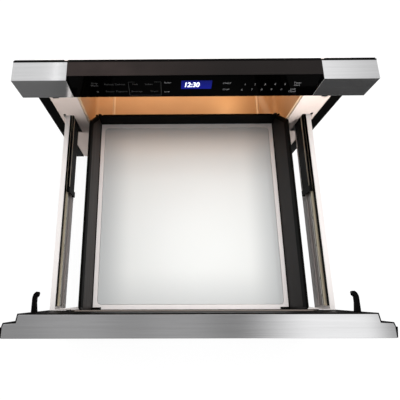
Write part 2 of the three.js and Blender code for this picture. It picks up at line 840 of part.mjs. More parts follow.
// Latch hook: an arm that points back and ends in a barb towards the middle, on an upright pin.
function latchHook() {
  const tip = innerDoorBack + hookLength;
  const outer = hookX + hookRoot / 2;
  const arm = new THREE.Shape();
  arm.moveTo(hookX - hookRoot / 2, hookPinY);
  arm.absarc(hookX, hookPinY, hookRoot / 2, Math.PI, 2 * Math.PI);
  arm.lineTo(outer, tip - hookHead - 2);
  arm.quadraticCurveTo(outer - 0.5, tip - 3, outer - hookNeck, tip);
  arm.lineTo(outer - hookBarb + 1, tip - 0.4);
  arm.lineTo(outer - hookBarb, tip - 2.5);
  arm.lineTo(outer - hookBarb + 0.5, tip - hookHead + 2);
  arm.lineTo(outer - hookNeck - 0.4, tip - hookHead - 1);
  arm.lineTo(outer - hookNeck - 0.4, tip - hookLength * 0.55);
  const plate = prismZ(arm, hookZ, hookZ + hookHeight);
  const pin = rodZ(hookPinRadius, [hookX, hookPinY], ...hookPinZ, 16);
  return join(plate, pin);
}

// Housing behind the plate's latch slot, with a pocket that the hook enters when the drawer shuts.
function latchSwitch() {
  const start = plateBack + seat;
  const end = start + switchDepth;
  const outerX = coverInner - seat;
  const outside = block(
    [hookSlotX[0] - switchWall - 6, outerX],
    [start, end],
    [hookSlotZ[0] - switchWall - 4, hookSlotZ[1] + switchWall + 4],
  );
  const pocket = block([hookSlotX[0] - 2, outerX - 0.8], [start - 1, end - switchWall], hookSlotZ);
  return cut(outside, pocket);
}

// ---------------------------------------------------------------- bin

const binFront = innerDoorBack + seat;
const binBackInner = binFront + binDepth;
const traySide = binWidth / 2;

// Moulded tray with a pale ledge round the recess for the glass floor, hollow below.
function binTray() {
  const bottom = ledgeZ - trayThickness;
  const tray = block([-traySide, traySide], [binFront, binBackInner], [bottom, ledgeZ]);
  const glassBed = ledgeZ - glassFloorSink - glassFloorThickness - seat;
  const recess = prismZ(
    roundedOutline(
      [-traySide + ledgeWidth, traySide - ledgeWidth],
      [binFront + ledgeWidth, binBackInner - ledgeWidth],
      glassCorner,
    ),
    glassBed,
    ledgeZ + 1,
  );
  const underside = block(
    [-traySide + 3, traySide - 3],
    [binFront + 3, binBackInner - 3],
    [bottom - 1, glassBed - trayWeb],
  );
  return cut(tray, recess, underside);
}

function glassFloor() {
  const top = ledgeZ - glassFloorSink;
  return prismZ(
    roundedOutline(
      [-traySide + ledgeWidth + seat, traySide - ledgeWidth - seat],
      [binFront + ledgeWidth + seat, binBackInner - ledgeWidth - seat],
      glassCorner - seat,
    ),
    top - glassFloorThickness,
    top,
  );
}

// Side wall: leans out a little, with a turned-down rim, and falls away at both ends.
function binWall() {
  const foot = traySide + seat;
  const bottom = ledgeZ - trayThickness;
  const top = ledgeZ + binWallHeight;
  const lean = foot + binWallLean;
  const rimOuter = lean + binRim;
  const wall = prismY([
    [foot, bottom], [foot, ledgeZ], [lean, top - 0.8], [lean + 0.8, top], [rimOuter - 0.8, top],
    [rimOuter, top - 0.8], [rimOuter, top - binRimDrop], [rimOuter - 1.2, top - binRimDrop],
    [foot + binWallThickness, ledgeZ], [foot + binWallThickness, bottom],
  ], binFront, binBackInner + binBackThickness);
  const x = [foot - 1, rimOuter + 1];
  const backTop = ledgeZ + binBackHeight;
  const backFall = prismX([
    [binBackInner - binBackFall, top + 1], [binBackInner - binBackFall, top],
    [binBackInner, backTop], [binBackInner + binBackThickness + 1, backTop],
    [binBackInner + binBackThickness + 1, top + 1],
  ], ...x);
  const frontFall = prismX([
    [binFront - 1, top + 1], [binFront - 1, top - 14], [binFront, top - 14],
    [binFront + binFrontFall, top], [binFront + binFrontFall, top + 1],
  ], ...x);
  return cut(wall, backFall, frontFall);
}

// Back wall with a small peak at each end, beside a notch.
function binBack() {
  const bottom = ledgeZ - trayThickness;
  const top = ledgeZ + binBackHeight;
  const end = traySide;
  return prismY([
    [-end, bottom], [end, bottom], [end, top + peakHeight], [end - peakWidth, top + peakHeight],
    [end - peakWidth - 3, top - 2], [end - peakWidth - 6, top],
    [-end + peakWidth + 6, top], [-end + peakWidth + 3, top - 2],
    [-end + peakWidth, top + peakHeight], [-end, top + peakHeight],
  ], binBackInner + seat, binBackInner + binBackThickness);
}

// ---------------------------------------------------------------- drawer drive

// Straight-sided teeth pointing down, along y, one pitch apart.
function driveRack() {
  const start = innerDoorBack + 4;
  const teeth = Math.floor((bracketRearY - start) / gearPitch);
  // A gap of the rack stands over a tooth of the pinion at rest.
  const axisY = plateY + pinionY;
  const shift = ((axisY - start) % gearPitch + gearPitch) % gearPitch;
  const tipZ = rackPitchZ - addendum;
  const rootZ = rackPitchZ + dedendum;
  const halfPitchWidth = gearPitch / 4 - toothBacklash / 4;
  const tipHalf = halfPitchWidth - addendum * Math.tan(pressureAngle);
  const rootHalf = halfPitchWidth + dedendum * Math.tan(pressureAngle);
  const lower = [];
  for (let i = 0; i < teeth - 1; i += 1) {
    const y = start + shift + (i + 0.5) * gearPitch;
    lower.push([y - rootHalf, rootZ], [y - tipHalf, tipZ], [y + tipHalf, tipZ], [y + rootHalf, rootZ]);
  }
  const first = lower[0][0] - 1;
  const last = lower[lower.length - 1][0] + 1;
  const outline = [
    [first, rootZ + rackBack], [first, rootZ], ...lower, [last, rootZ], [last, rootZ + rackBack],
  ];
  return prismX(outline, rackX, rackX + gearWidth + 1);
}

// Involute pinion with a tooth straight up, and its shaft into the gearbox.
function drivePinion() {
  const pitchRadius = toothModule * pinionTeeth / 2;
  const baseRadius = pitchRadius * Math.cos(pressureAngle);
  const tipRadius = pitchRadius + addendum;
  const rootRadius = pitchRadius - dedendum;
  const involute = (angle) => Math.tan(angle) - angle;
  const halfTooth = Math.PI / (2 * pinionTeeth) - toothBacklash / (4 * pitchRadius);
  const flankAngle = (radius) => {
    const clamped = Math.max(radius, baseRadius);
    return halfTooth + involute(pressureAngle) - involute(Math.acos(baseRadius / clamped));
  };
  const radii = [rootRadius, baseRadius, pitchRadius, tipRadius];
  const at = (radius, angle) => [
    plateY + pinionY + radius * Math.sin(angle),
    pinionZ + radius * Math.cos(angle),
  ];
  const outline = [];
  for (let tooth = 0; tooth < pinionTeeth; tooth += 1) {
    const centre = tooth * 2 * Math.PI / pinionTeeth;
    for (const radius of radii) outline.push(at(radius, centre - flankAngle(radius)));
    for (const radius of [...radii].reverse()) outline.push(at(radius, centre + flankAngle(radius)));
  }
  const gear = prismX(outline, rackX + 0.5, rackX + 0.5 + gearWidth);
  const axis = [plateY + pinionY, pinionZ];
  const shaft = rodX(shaftRadius, axis, gearboxX[1] - shaftEngagement, rackX + gearWidth, 20);
  return join(gear, shaft);
}

const gearboxX = [railInnerX - gearboxSpace - gearboxWidth, railInnerX - gearboxSpace];

// Gear motor fixed under the cavity, with the bore that the pinion's shaft turns in.
function driveMotor() {
  const y = plateY + pinionY;
  const top = cavityUnder;
  const gearbox = block(gearboxX, [y - gearboxDepth / 2, y + gearboxDepth / 2], [top - gearboxHeight, top]);
  const motorEnd = gearboxX[0] - driveMotorLength;
  const motor = rodX(driveMotorRadius, [y, top - gearboxHeight / 2], motorEnd, gearboxX[0] + 1);
  const boreEnd = gearboxX[1] - shaftEngagement - seat;
  const bore = rodX(shaftRadius + shaftClear, [y, pinionZ], boreEnd, gearboxX[1] + 1, 20);
  return cut(join(gearbox, motor), bore);
}

// ---------------------------------------------------------------- microwave feed

const wellHalf = wellSize / 2;

// Pressed well under the cavity floor, in which the antenna turns.
function antennaWell() {
  const top = cavityUnder;
  const outer = wellHalf + sheet;
  const bowl = block([-outer, outer], [wellY - outer, wellY + outer], [wellBottom, top]);
  const rim = block(
    [-outer - wellFlange, outer + wellFlange],
    [wellY - outer - wellFlange, wellY + outer + wellFlange],
    [top - sheet, top],
  );
  const inside = block(
    [-wellHalf, wellHalf],
    [wellY - wellHalf, wellY + wellHalf],
    [wellBottom + sheet, top + 1],
  );
  const feed = rodZ(feedRadius, [0, wellY], wellBottom - 1, wellBottom + sheet + 1);
  return cut(join(bowl, rim), inside, feed);
}

function antennaCover() {
  const half = wellHalf + wellFlange / 2 - seat;
  const bottom = cavityUnder + seat;
  return block([-half, half], [wellY - half, wellY + half], [bottom, bottom + coverThickness]);
}

const antennaZ = wellBottom + sheet + antennaHeight;
const antennaMotorTop = guideBottom - seat;

// Slotted disc on an insulating shaft that runs down through the waveguide to its motor.
function antenna() {
  const disc = rodZ(antennaRadius, [0, wellY], antennaZ, antennaZ + antennaThickness, 40);
  const slots = [0, 1, 2].map((i) => {
    const slot = block(
      [antennaSlotInner, antennaSlotOuter],
      [-antennaSlot / 2, antennaSlot / 2],
      [antennaZ - 1, antennaZ + antennaThickness + 1],
    );
    return slot.rotateZ(i * 2 * Math.PI / 3 + antennaSlotTurn).translate(0, wellY, 0);
  });
  const shaft = rodZ(antennaShaft, [0, wellY], antennaMotorTop - antennaShaftGrip, antennaZ + 1, 20);
  return join(cut(disc, ...slots), shaft);
}

function waveguide() {
  const half = guideWidth / 2;
  const tube = block([-half, half], [guideFront, guideBack], [guideBottom, guideTop]);
  const inside = block(
    [-half + sheet, half - sheet],
    [guideFront + sheet, guideBack - sheet],
    [guideBottom + sheet, guideTop - sheet],
  );
  const feed = rodZ(feedRadius, [0, wellY], guideTop - sheet - 1, guideTop + 1);
  const shaftHole = rodZ(antennaShaft + 1, [0, wellY], guideBottom - 1, guideBottom + sheet + 1);
  const domeHole = rodZ(domeRadius + 2, [0, magnetronY], guideTop - sheet - 1, guideTop + 1);
  return cut(tube, inside, feed, shaftHole, domeHole);
}

function antennaMotor() {
  const body = rodZ(antennaMotorRadius, [0, wellY], antennaMotorTop - antennaMotorHeight, antennaMotorTop);
  const ears = block(
    [-antennaMotorRadius - motorEar, antennaMotorRadius + motorEar],
    [wellY - motorEarWidth / 2, wellY + motorEarWidth / 2],
    [antennaMotorTop - motorEarThickness, antennaMotorTop],
  );
  const boreEnd = antennaMotorTop - antennaShaftGrip - seat;
  const bore = rodZ(antennaShaft + shaftClear, [0, wellY], boreEnd, antennaMotorTop + 1, 20);
  return cut(join(body, ears), bore);
}

// Magnetron on the waveguide's rear end: yoke, cooling fins, core, filter box and output dome.
function magnetron() {
  const bottom = guideTop + seat;
  const halfX = magnetronWidth / 2;
  const y = [magnetronY - magnetronDepth / 2, magnetronY + magnetronDepth / 2];
  const top = bottom + magnetronHeight;
  const level = (z, thickness) => block([-halfX, halfX], y, [z, z + thickness]);
  const fins = Array.from({ length: magnetronFins }, (_, i) => level(
    bottom + (i + 1) * magnetronHeight / (magnetronFins + 1),
    thinSheet,
  ));
  const [boxWidth, boxDepth, boxHeight] = filterBox;
  return join(
    level(bottom, magnetronYoke),
    level(top - magnetronYoke, magnetronYoke),
    block([-halfX, -halfX + magnetronYoke], y, [bottom, top]),
    block([halfX - magnetronYoke, halfX], y, [bottom, top]),
    ...fins,
    rodZ(magnetronCore, [0, magnetronY], bottom, top),
    block(
      [-boxWidth / 2, boxWidth / 2],
      [magnetronY - boxDepth / 2, magnetronY + boxDepth / 2],
      [top - magnetronYoke / 2, top + boxHeight],
    ),
    rodZ(domeRadius, [0, magnetronY], bottom - domeLength, bottom + magnetronYoke / 2),
  );
}

// ---------------------------------------------------------------- power supply and cooling

function transformer() {
  const [w, d, h] = transformerSize;
  const [x, y] = transformerPlace;
  const core = block([x - w / 2, x + w / 2], [y - d / 2, y + d / 2], [panTop, panTop + h]);
  const coil = block(
    [x - w / 2 + coilInset, x + w / 2 - coilInset],
    [y - d / 2 - coilProud, y + d / 2 + coilProud],
    [panTop + coilInset, panTop + h - coilInset],
  );
  const foot = block(
    [x - w / 2 - footReach, x + w / 2 + footReach],
    [y - d / 2 + footInset, y + d / 2 - footInset],
    [panTop, panTop + footThickness],
  );
  return join(core, coil, foot);
}

function capacitor() {
  const [w, d, h] = capacitorSize;
  const [x, y] = capacitorPlace;
  const can = prismZ(
    roundedOutline([x - w / 2, x + w / 2], [y - d / 2, y + d / 2], d / 2 - seat),
    panTop,
    panTop + h,
  );
  const [tabWidth, tabThickness, tabHeight] = capacitorTab;
  const tabs = [-1, 1].map((side) => {
    const middle = x + side * capacitorTabPitch / 2;
    return block(
      [middle - tabWidth / 2, middle + tabWidth / 2],
      [y - tabThickness / 2, y + tabThickness / 2],
      [panTop + h - 1, panTop + h + tabHeight],
    );
  });
  return join(can, ...tabs);
}

const fanFront = panelY - seat - fanDepth;
const hubY = [fanFront + bladeInset, fanFront + bladeInset + hubLength];

// Square fan frame with a round bore and three arms that hold the motor.
function fanShroud() {
  const [x, z] = fanPlace;
  const frame = block(
    [x - fanFrame / 2, x + fanFrame / 2],
    [fanFront, fanFront + fanDepth],
    [z - fanFrame / 2, z + fanFrame / 2],
  );
  const bore = rodY(fanRadius + fanClear, fanPlace, fanFront - 1, fanFront + fanDepth + 1, 40);
  const disc = rodY(fanMotorRadius, fanPlace, fanFront, fanFront + armThickness);
  const arms = [0, 1, 2].map((i) => {
    const arm = block(
      [0, fanRadius + fanClear + 2],
      [fanFront, fanFront + armThickness],
      [-armWidth / 2, armWidth / 2],
    );
    return arm.rotateY(i * 2 * Math.PI / 3).translate(x, 0, z);
  });
  const shaftHole = rodY(shaftRadius + seat, fanPlace, fanFront - 1, fanFront + armThickness + 1, 20);
  return cut(join(cut(frame, bore), disc, ...arms), shaftHole);
}

function fanBlade() {
  const [x, z] = fanPlace;
  const hub = rodY(fanHub, fanPlace, ...hubY);
  const blades = Array.from({ length: fanBlades }, (_, i) => {
    const blade = block(
      [fanHub - bladeThickness, fanRadius],
      [-bladeThickness / 2, bladeThickness / 2],
      [-fanChord / 2, fanChord / 2],
    );
    blade.rotateX(fanPitchAngle).rotateY(i * 2 * Math.PI / fanBlades);
    return blade.translate(x, (hubY[0] + hubY[1]) / 2, z);
  });
  const shaft = rodY(shaftRadius, fanPlace, fanFront - fanShaftGrip, hubY[0] + 1, 20);
  return join(hub, ...blades, shaft);
}

function fanMotor() {
  const end = fanFront - seat;
  const body = rodY(fanMotorRadius, fanPlace, end - fanMotorLength, end);
  const bore = rodY(shaftRadius + shaftClear, fanPlace, fanFront - fanShaftGrip - seat, end + 1, 20);
  return cut(body, bore);
}

// Noise-filter board on four standoffs, with its choke and two capacitors.
function filterBoard() {
  const [w, d] = filterSize;
  const [x, y] = filterPlace;
  const top = panTop + filterStandoff;
  const board = block([x - w / 2, x + w / 2], [y - d / 2, y + d / 2], [top, top + boardThickness]);
  const feet = [[-1, -1], [-1, 1], [1, -1], [1, 1]].map(([i, j]) => rodZ(
    standoffRadius,
    [x + i * (w / 2 - standoffInset), y + j * (d / 2 - standoffInset)],
    panTop,
    top + boardThickness / 2,
    12,
  ));
  const face = top + boardThickness / 2;
  const choke = rodZ(chokeRadius, [x + chokeX, y], face, face + chokeHeight, 20);
  const [filmWidth, filmDepth, filmHeight] = filmCapacitor;
  const filmCapacitors = [-1, 1].map((side) => {
    const middle = y + side * filmCapacitorY;
    return block(
      [x + filmCapacitorX - filmWidth / 2, x + filmCapacitorX + filmWidth / 2],
      [middle - filmDepth / 2, middle + filmDepth / 2],
      [face, face + filmHeight],
    );
  });
  return join(board, ...feet, choke, ...filmCapacitors);
}

function cavityLamp() {
  const start = cavityBack + sheet + seat;
  const [x, z] = lampPlace;
  const base = block(
    [x - lampBase / 2, x + lampBase / 2],
    [start, start + lampBaseThickness],
    [z - lampBase / 2, z + lampBase / 2],
  );
  const socket = rodY(lampRadius, lampPlace, start, start + lampSocket);
  const bulb = rodY(bulbRadius, lampPlace, cavityBack - bulbReach, start + 1);
  return join(base, socket, bulb);
}

// Moulded gland where the power cord enters, gripped by the back panel's hole.
function cordGland() {
  const front = panelY - glandNutDepth;
  const back = bodyBack + seat + glandFlangeThickness;
  const barrel = rodY(glandRadius - seat, glandPlace, front, back);
  const flange = rodY(glandFlange, glandPlace, bodyBack + seat, back);
  const nut = rodY(glandNut, glandPlace, front, panelY - seat);
  const bore = rodY(glandBore, glandPlace, front - 1, back + 1);
  return cut(join(barrel, flange, nut), bore);
}

// ---------------------------------------------------------------- assembly

add('base_pan', basePan(), galvanised);
add('outer_cover', outerCover(), whitePaint);
add('back_panel', backPanel(), galvanised);
add('cavity_box', cavityBox(), cavityPaint);
add('front_plate', frontPlate(), whitePaint);
addPair('pillar', pillar(), blackPlastic);

add('head_carrier', headCarrier(), blackPlastic);
addPair('end_block', endBlock(), brushedSteel);
add('control_housing', controlHousing(), blackPlastic);
add('control_glass', controlGlass(), blackGlass);
add('display_module', displayModule(), blackGlass);
add('control_board', controlBoard(), boardGreen);

addPair('slide_mount', slideMount(), galvanised);
addPair('cabinet_rail', cabinetRail(), zincSteel);
addPair('ball_cage', ballCage(), zincSteel);
addPair('middle_rail', middleRail(), zincSteel);
addPair('rail_clip', railClip(), blackPlastic);
addPair('drawer_rail', drawerRail(), zincSteel);
addPair('drawer_bracket', drawerBracket(), whitePaint);

add('drawer_front', drawerFront(), brushedSteel);
add('inner_door', innerDoor(), blackPlastic);
addPair('end_cap', endCap(), blackPlastic);
addPair('latch_hook', latchHook(), blackPlastic);
addPair('latch_switch', latchSwitch(), blackPlastic);

add('bin_tray', binTray(), whitePaint);
add('glass_floor', glassFloor(), paleGlass);
addPair('bin_wall', binWall(), greyPlastic);
add('bin_back', binBack(), blackPlastic);

add('drive_rack', driveRack(), blackPlastic);
add('drive_pinion', drivePinion(), ceramic);
add('drive_motor', driveMotor(), darkIron);

add('antenna_well', antennaWell(), galvanised);
add('antenna_cover', antennaCover(), ceramic);
add('antenna', antenna(), zincSteel);
add('waveguide', waveguide(), galvanised);
add('antenna_motor', antennaMotor(), darkIron);
add('magnetron', magnetron(), zincSteel);

add('transformer', transformer(), copper);
add('capacitor', capacitor(), zincSteel);
add('fan_shroud', fanShroud(), blackPlastic);
add('fan_blade', fanBlade(), blackPlastic);
add('fan_motor', fanMotor(), darkIron);
add('filter_board', filterBoard(), boardGreen);
add('cavity_lamp', cavityLamp(), ceramic);
add('cord_gland', cordGland(), blackPlastic);

export default group;
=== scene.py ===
"""Built-in microwave drawer, seen from above and in front with its drawer pulled out.

Metres. +X is right, +Y is back into the cabinet, +Z is up. The sections follow the unit as it is
put together: the studio, the cabinet, the control head, the slides, the drawer and the works.
"""

import bpy
import bmesh
import json
import math
import numpy as np
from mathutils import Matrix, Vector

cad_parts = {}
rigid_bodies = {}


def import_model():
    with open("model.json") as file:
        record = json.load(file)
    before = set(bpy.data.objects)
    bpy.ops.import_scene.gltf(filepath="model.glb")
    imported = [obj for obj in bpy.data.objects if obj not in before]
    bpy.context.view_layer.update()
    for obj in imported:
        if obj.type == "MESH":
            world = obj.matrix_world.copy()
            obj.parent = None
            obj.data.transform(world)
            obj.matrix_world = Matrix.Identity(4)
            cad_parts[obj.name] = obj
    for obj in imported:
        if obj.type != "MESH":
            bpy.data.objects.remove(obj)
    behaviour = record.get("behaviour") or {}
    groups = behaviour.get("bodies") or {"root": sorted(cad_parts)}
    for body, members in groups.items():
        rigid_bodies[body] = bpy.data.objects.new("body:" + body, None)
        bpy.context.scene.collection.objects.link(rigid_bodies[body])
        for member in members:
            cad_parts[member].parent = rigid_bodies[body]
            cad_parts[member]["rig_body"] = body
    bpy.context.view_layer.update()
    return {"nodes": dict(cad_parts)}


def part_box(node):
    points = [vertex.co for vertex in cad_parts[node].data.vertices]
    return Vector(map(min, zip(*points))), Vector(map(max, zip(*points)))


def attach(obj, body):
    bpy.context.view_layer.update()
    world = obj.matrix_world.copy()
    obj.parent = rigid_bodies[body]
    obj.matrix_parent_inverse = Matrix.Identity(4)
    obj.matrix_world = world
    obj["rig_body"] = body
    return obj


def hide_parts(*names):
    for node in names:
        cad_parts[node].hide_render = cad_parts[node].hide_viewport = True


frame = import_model()
nodes = frame["nodes"]
scene = bpy.context.scene
scene.view_settings.view_transform = "Standard"


# ---------------------------------------------------------------- camera
# A camera that looks steeply down over the open drawer. Its place and lens come from the unit's
# straight edges in the photograph.

camera_data = bpy.data.cameras.new("camera")
camera_data.lens = 29.874
camera_data.sensor_width = 36
camera_data.shift_x = 0.08618
camera_data.shift_y = 0.02347
camera = bpy.data.objects.new("camera", camera_data)
camera.location = (-0.04527, -0.66437, 0.87473)
camera.rotation_euler = (0.259704, 0.007788, -0.002676)
scene.collection.objects.link(camera)
scene.camera = camera


# ---------------------------------------------------------------- floor
# A seamless floor of matt paint. Its own glow makes it white to the eye and in reflections, and
# the paint still takes the unit's shadow.


def linear(hex_colour):
    """An sRGB hex colour as linear RGBA: a channel c is c / 12.92 up to 0.04045, and above that
    ((c + 0.055) / 1.055) to the power 2.4."""
    channels = np.array([int(hex_colour[place:place + 2], 16) for place in (1, 3, 5)]) / 255
    low = channels / 12.92
    high = ((channels + 0.055) / 1.055) ** 2.4
    return (*np.where(channels <= 0.04045, low, high).tolist(), 1.0)


def add_node(tree, kind, inputs=None, **settings):
    """Adds a node with its settings. An input takes a value, or an output that is linked to it."""
    node = tree.nodes.new("ShaderNode" + kind)
    for name, value in settings.items():
        setattr(node, name, value)
    for socket, value in (inputs or {}).items():
        if isinstance(value, bpy.types.NodeSocket):
            tree.links.new(value, node.inputs[socket])
        else:
            node.inputs[socket].default_value = value
    return node


def new_tree(owner):
    """The empty node tree of a material or a world."""
    owner.use_nodes = True
    owner.node_tree.nodes.clear()
    return owner.node_tree


def own_material(name):
    """A new material with an empty node tree, and the tree."""
    material = bpy.data.materials.new(name)
    return material, new_tree(material)


def mesh_object(name, points, faces, material):
    """A mesh piece at the origin from an array of points and a list of faces."""
    mesh = bpy.data.meshes.new(name)
    mesh.from_pydata(np.asarray(points, float).reshape(-1, 3).tolist(), [], faces)
    mesh.materials.append(material)
    piece = bpy.data.objects.new(name, mesh)
    scene.collection.objects.link(piece)
    return piece


floor_paint, tree = own_material("matt_white_floor_paint")
rays = add_node(tree, "LightPath")
seen = add_node(tree, "Math", {0: rays.outputs["Is Camera Ray"], 1: rays.outputs["Is Glossy Ray"]},
                operation="MAXIMUM")
seen = add_node(tree, "Math", {0: seen.outputs[0], 1: rays.outputs["Is Transmission Ray"]},
                operation="MAXIMUM")
glow = add_node(tree, "Math", {0: seen.outputs[0], 1: 0.9}, operation="MULTIPLY")
matt = add_node(tree, "BsdfDiffuse", {"Color": linear("#6c6c6c")})
shine = add_node(tree, "Emission", {"Color": linear("#ffffff"), "Strength": glow.outputs[0]})
both = add_node(tree, "AddShader", {0: matt.outputs[0], 1: shine.outputs[0]})
add_node(tree, "OutputMaterial", {"Surface": both.outputs[0]})

floor_half = 4.0
floor = mesh_object(
    "floor",
    [(-floor_half, -floor_half, 0), (floor_half, -floor_half, 0),
     (floor_half, floor_half, 0), (-floor_half, floor_half, 0)],
    [(0, 1, 2, 3)], floor_paint)


# ---------------------------------------------------------------- studio light
# A pale room with a large soft lamp and two spots. Polished pieces mirror a ceiling that is grey on
# the left and white on the right, a back wall with one bright strip, and two dark cards that lie on
# the floor beside the drawer.

world = bpy.data.worlds.new("studio")
scene.world = world
tree = new_tree(world)
rays = add_node(tree, "LightPath")
where = add_node(tree, "TexCoord")
axes = add_node(tree, "SeparateXYZ", {0: where.outputs["Generated"]})
height = add_node(tree, "Math", {0: axes.outputs["Z"], 1: 0.05}, operation="MAXIMUM")
across = add_node(tree, "Math", {0: axes.outputs["X"], 1: height.outputs[0]}, operation="DIVIDE")
back = add_node(tree, "Math", {0: axes.outputs["Y"], 1: height.outputs[0]}, operation="DIVIDE")


def stepped(start, levels):
    """The start level plus one smooth step for each (from, to, rise) across the room, where a
    place is the direction's X over its height."""
    total = start
    for low, high, rise in levels:
        step = add_node(tree, "MapRange", {"Value": across.outputs[0], "From Min": low, "From Max": high,
                                           "To Max": rise}, interpolation_type="SMOOTHSTEP")
        total = add_node(tree, "Math", {0: step.outputs[0], 1: total}, operation="ADD").outputs[0]
    return total


ceiling = stepped(0.34, [(-0.45, -0.30, 0.08), (-0.24, -0.12, -0.06), (-0.10, 0.0, 0.05),
                         (0.06, 0.18, -0.095), (0.19, 0.42, 0.84), (0.56, 0.66, -0.74)])
back_wall = stepped(0.88, [(-0.462, -0.456, 0.07), (-0.450, -0.444, -0.07), (-0.399, -0.394, 1.15),
                           (-0.386, -0.381, -1.17), (-0.3, 0.4, 0.24), (0.5, 0.8, -0.42)])
seam = add_node(tree, "MapRange", {"Value": back.outputs[0], "From Min": 0.35, "From Max": 0.6},
                interpolation_type="SMOOTHSTEP")
mirrored = add_node(tree, "Mix", {0: seam.outputs[0], 2: ceiling, 3: back_wall})

# The soft light on matt faces comes from low in front, more from the right, and from behind.
front = add_node(tree, "MapRange", {"Value": axes.outputs["Y"], "From Min": -0.55, "From Max": -0.95},
                 interpolation_type="SMOOTHSTEP")
low = add_node(tree, "MapRange", {"Value": axes.outputs["Z"], "From Min": 0.5, "From Max": 0.2},
               interpolation_type="SMOOTHSTEP")
front = add_node(tree, "Math", {0: front.outputs[0], 1: low.outputs[0]}, operation="MULTIPLY")
right = add_node(tree, "Math", {0: axes.outputs["X"], 1: 1.5, 2: 4.4}, operation="MULTIPLY_ADD")
rear = add_node(tree, "MapRange", {"Value": axes.outputs["Y"], "From Min": 0.1, "From Max": 0.7,
                                   "To Min": 0.30, "To Max": 1.15}, interpolation_type="SMOOTHSTEP")
fill = add_node(tree, "Math", {0: front.outputs[0], 1: right.outputs[0], 2: rear.outputs[0]},
                operation="MULTIPLY_ADD")
soft_light = add_node(tree, "Background", {"Color": linear("#ffffff"), "Strength": fill.outputs[0]})
room = add_node(tree, "Background", {"Color": linear("#ffffff"), "Strength": mirrored.outputs[0]})
white = add_node(tree, "Background", {"Color": linear("#ffffff"), "Strength": 1.0})
lit = add_node(tree, "MixShader", {0: rays.outputs["Is Glossy Ray"], 1: soft_light.outputs[0],
                                   2: room.outputs[0]})
plain = add_node(tree, "Math", {0: rays.outputs["Is Camera Ray"], 1: rays.outputs["Is Transmission Ray"]},
                 operation="MAXIMUM")
shown = add_node(tree, "MixShader", {0: plain.outputs[0], 1: lit.outputs[0], 2: white.outputs[0]})
add_node(tree, "OutputWorld", {"Surface": shown.outputs[0]})
world.cycles.sampling_method = "NONE"


def area_lamp(name, place, target, size, power):
    """A square soft lamp of that size at place, turned to face target."""
    data = bpy.data.lights.new(name, "AREA")
    data.size = size
    data.energy = power
    lamp = bpy.data.objects.new(name, data)
    lamp.location = place
    aim = np.subtract(target, place)
    flat = math.hypot(aim[0], aim[1])
    lamp.rotation_euler = (math.atan2(flat, -aim[2]), 0, math.atan2(aim[1], aim[0]) - math.pi / 2)
    scene.collection.objects.link(lamp)
    return lamp


def spot_lamp(name, place, turn, cone, softness, power):
    """A soft-edged spot at place that no polished face mirrors. Its turn and cone are in degrees."""
    data = bpy.data.lights.new(name, "SPOT")
    data.energy = power
    data.spot_size = math.radians(cone)
    data.spot_blend = 1.0
    data.shadow_soft_size = softness
    lamp = bpy.data.objects.new(name, data)
    lamp.location = place
    lamp.rotation_euler = [math.radians(angle) for angle in turn]
    lamp.visible_glossy = False
    scene.collection.objects.link(lamp)


key_lamp = area_lamp("key_lamp", (0.12, -0.26, 1.90), (0.05, -0.40, 0.2), 1.2, 20.5)
key_lamp.visible_glossy = False
spot_lamp("bin_spot", (0.05, -0.55, 1.6), (0, 0, 0), 19, 0.12, 19)
spot_lamp("plate_spot", (0.52, -1.10, 0.62), (69, 0, 19), 15, 0.05, 27)


def share_along(tree, where, axis, start, stop):
    """How far a point lies from start to stop along an axis, as a share from 0 to 1."""
    place = add_node(tree, "SeparateXYZ", {0: where.outputs["Object"]})
    return add_node(tree, "MapRange", {"Value": place.outputs[axis], "From Min": start, "From Max": stop})


card_paint, tree = own_material("dark_card")
where = add_node(tree, "TexCoord")
sideways = share_along(tree, where, "X", -0.4, 0.4)
greys = add_node(tree, "Mix", {0: sideways.outputs[0], 6: linear("#6e6e6e"), 7: linear("#484848")},
                 data_type="RGBA")
matt = add_node(tree, "BsdfDiffuse", {"Color": greys.outputs[2]})
add_node(tree, "OutputMaterial", {"Surface": matt.outputs[0]})
card_inner = 0.205
card_outer = 1.0
card_front = -0.85
card_rear = -0.30
card_height = 0.002
card_corners = [(x, y, card_height)
                for near, far in ((-card_outer, -card_inner), (card_inner, card_outer))
                for x, y in ((near, card_front), (far, card_front), (far, card_rear), (near, card_rear))]
card = mesh_object("dark_cards", card_corners, [(0, 1, 2, 3), (4, 5, 6, 7)], card_paint)
card.visible_camera = False
card.visible_diffuse = False
card.visible_transmission = False
card.visible_shadow = False


# ---------------------------------------------------------------- base pan and back panel
# The pan that the unit stands on and the vented panel behind it are bare hot-dip galvanised
# sheet. Zinc crystals a centimetre across give it its patchwork of greys.


def dress(material, *names):
    """Gives the CAD pieces of those names one material."""
    for name in names:
        nodes[name].data.materials.clear()
        nodes[name].data.materials.append(material)


galvanised, tree = own_material("hot_dip_galvanised_sheet")
where = add_node(tree, "TexCoord")
crystals = add_node(tree, "TexVoronoi", {"Vector": where.outputs["Object"], "Scale": 1 / 0.011},
                    feature="F1")
cloud = add_node(tree, "TexNoise", {"Vector": where.outputs["Object"], "Scale": 1 / 0.05, "Detail": 3.0})
blend = add_node(tree, "Math", {0: crystals.outputs["Color"], 1: cloud.outputs["Fac"]},
                 operation="MULTIPLY")
greys = add_node(tree, "Mix", {0: blend.outputs[0], 6: linear("#9da1a4"), 7: linear("#c9ccce")},
                 data_type="RGBA")
rough = add_node(tree, "MapRange", {"Value": crystals.outputs["Distance"], "From Max": 0.8,
                                    "To Min": 0.36, "To Max": 0.5})
bump = add_node(tree, "Bump", {"Height": crystals.outputs["Distance"], "Strength": 0.08,
                               "Distance": 0.0004})
shell = add_node(tree, "BsdfPrincipled", {
    "Base Color": greys.outputs[2], "Metallic": 1.0, "Roughness": rough.outputs[0],
    "Normal": bump.outputs[0]})
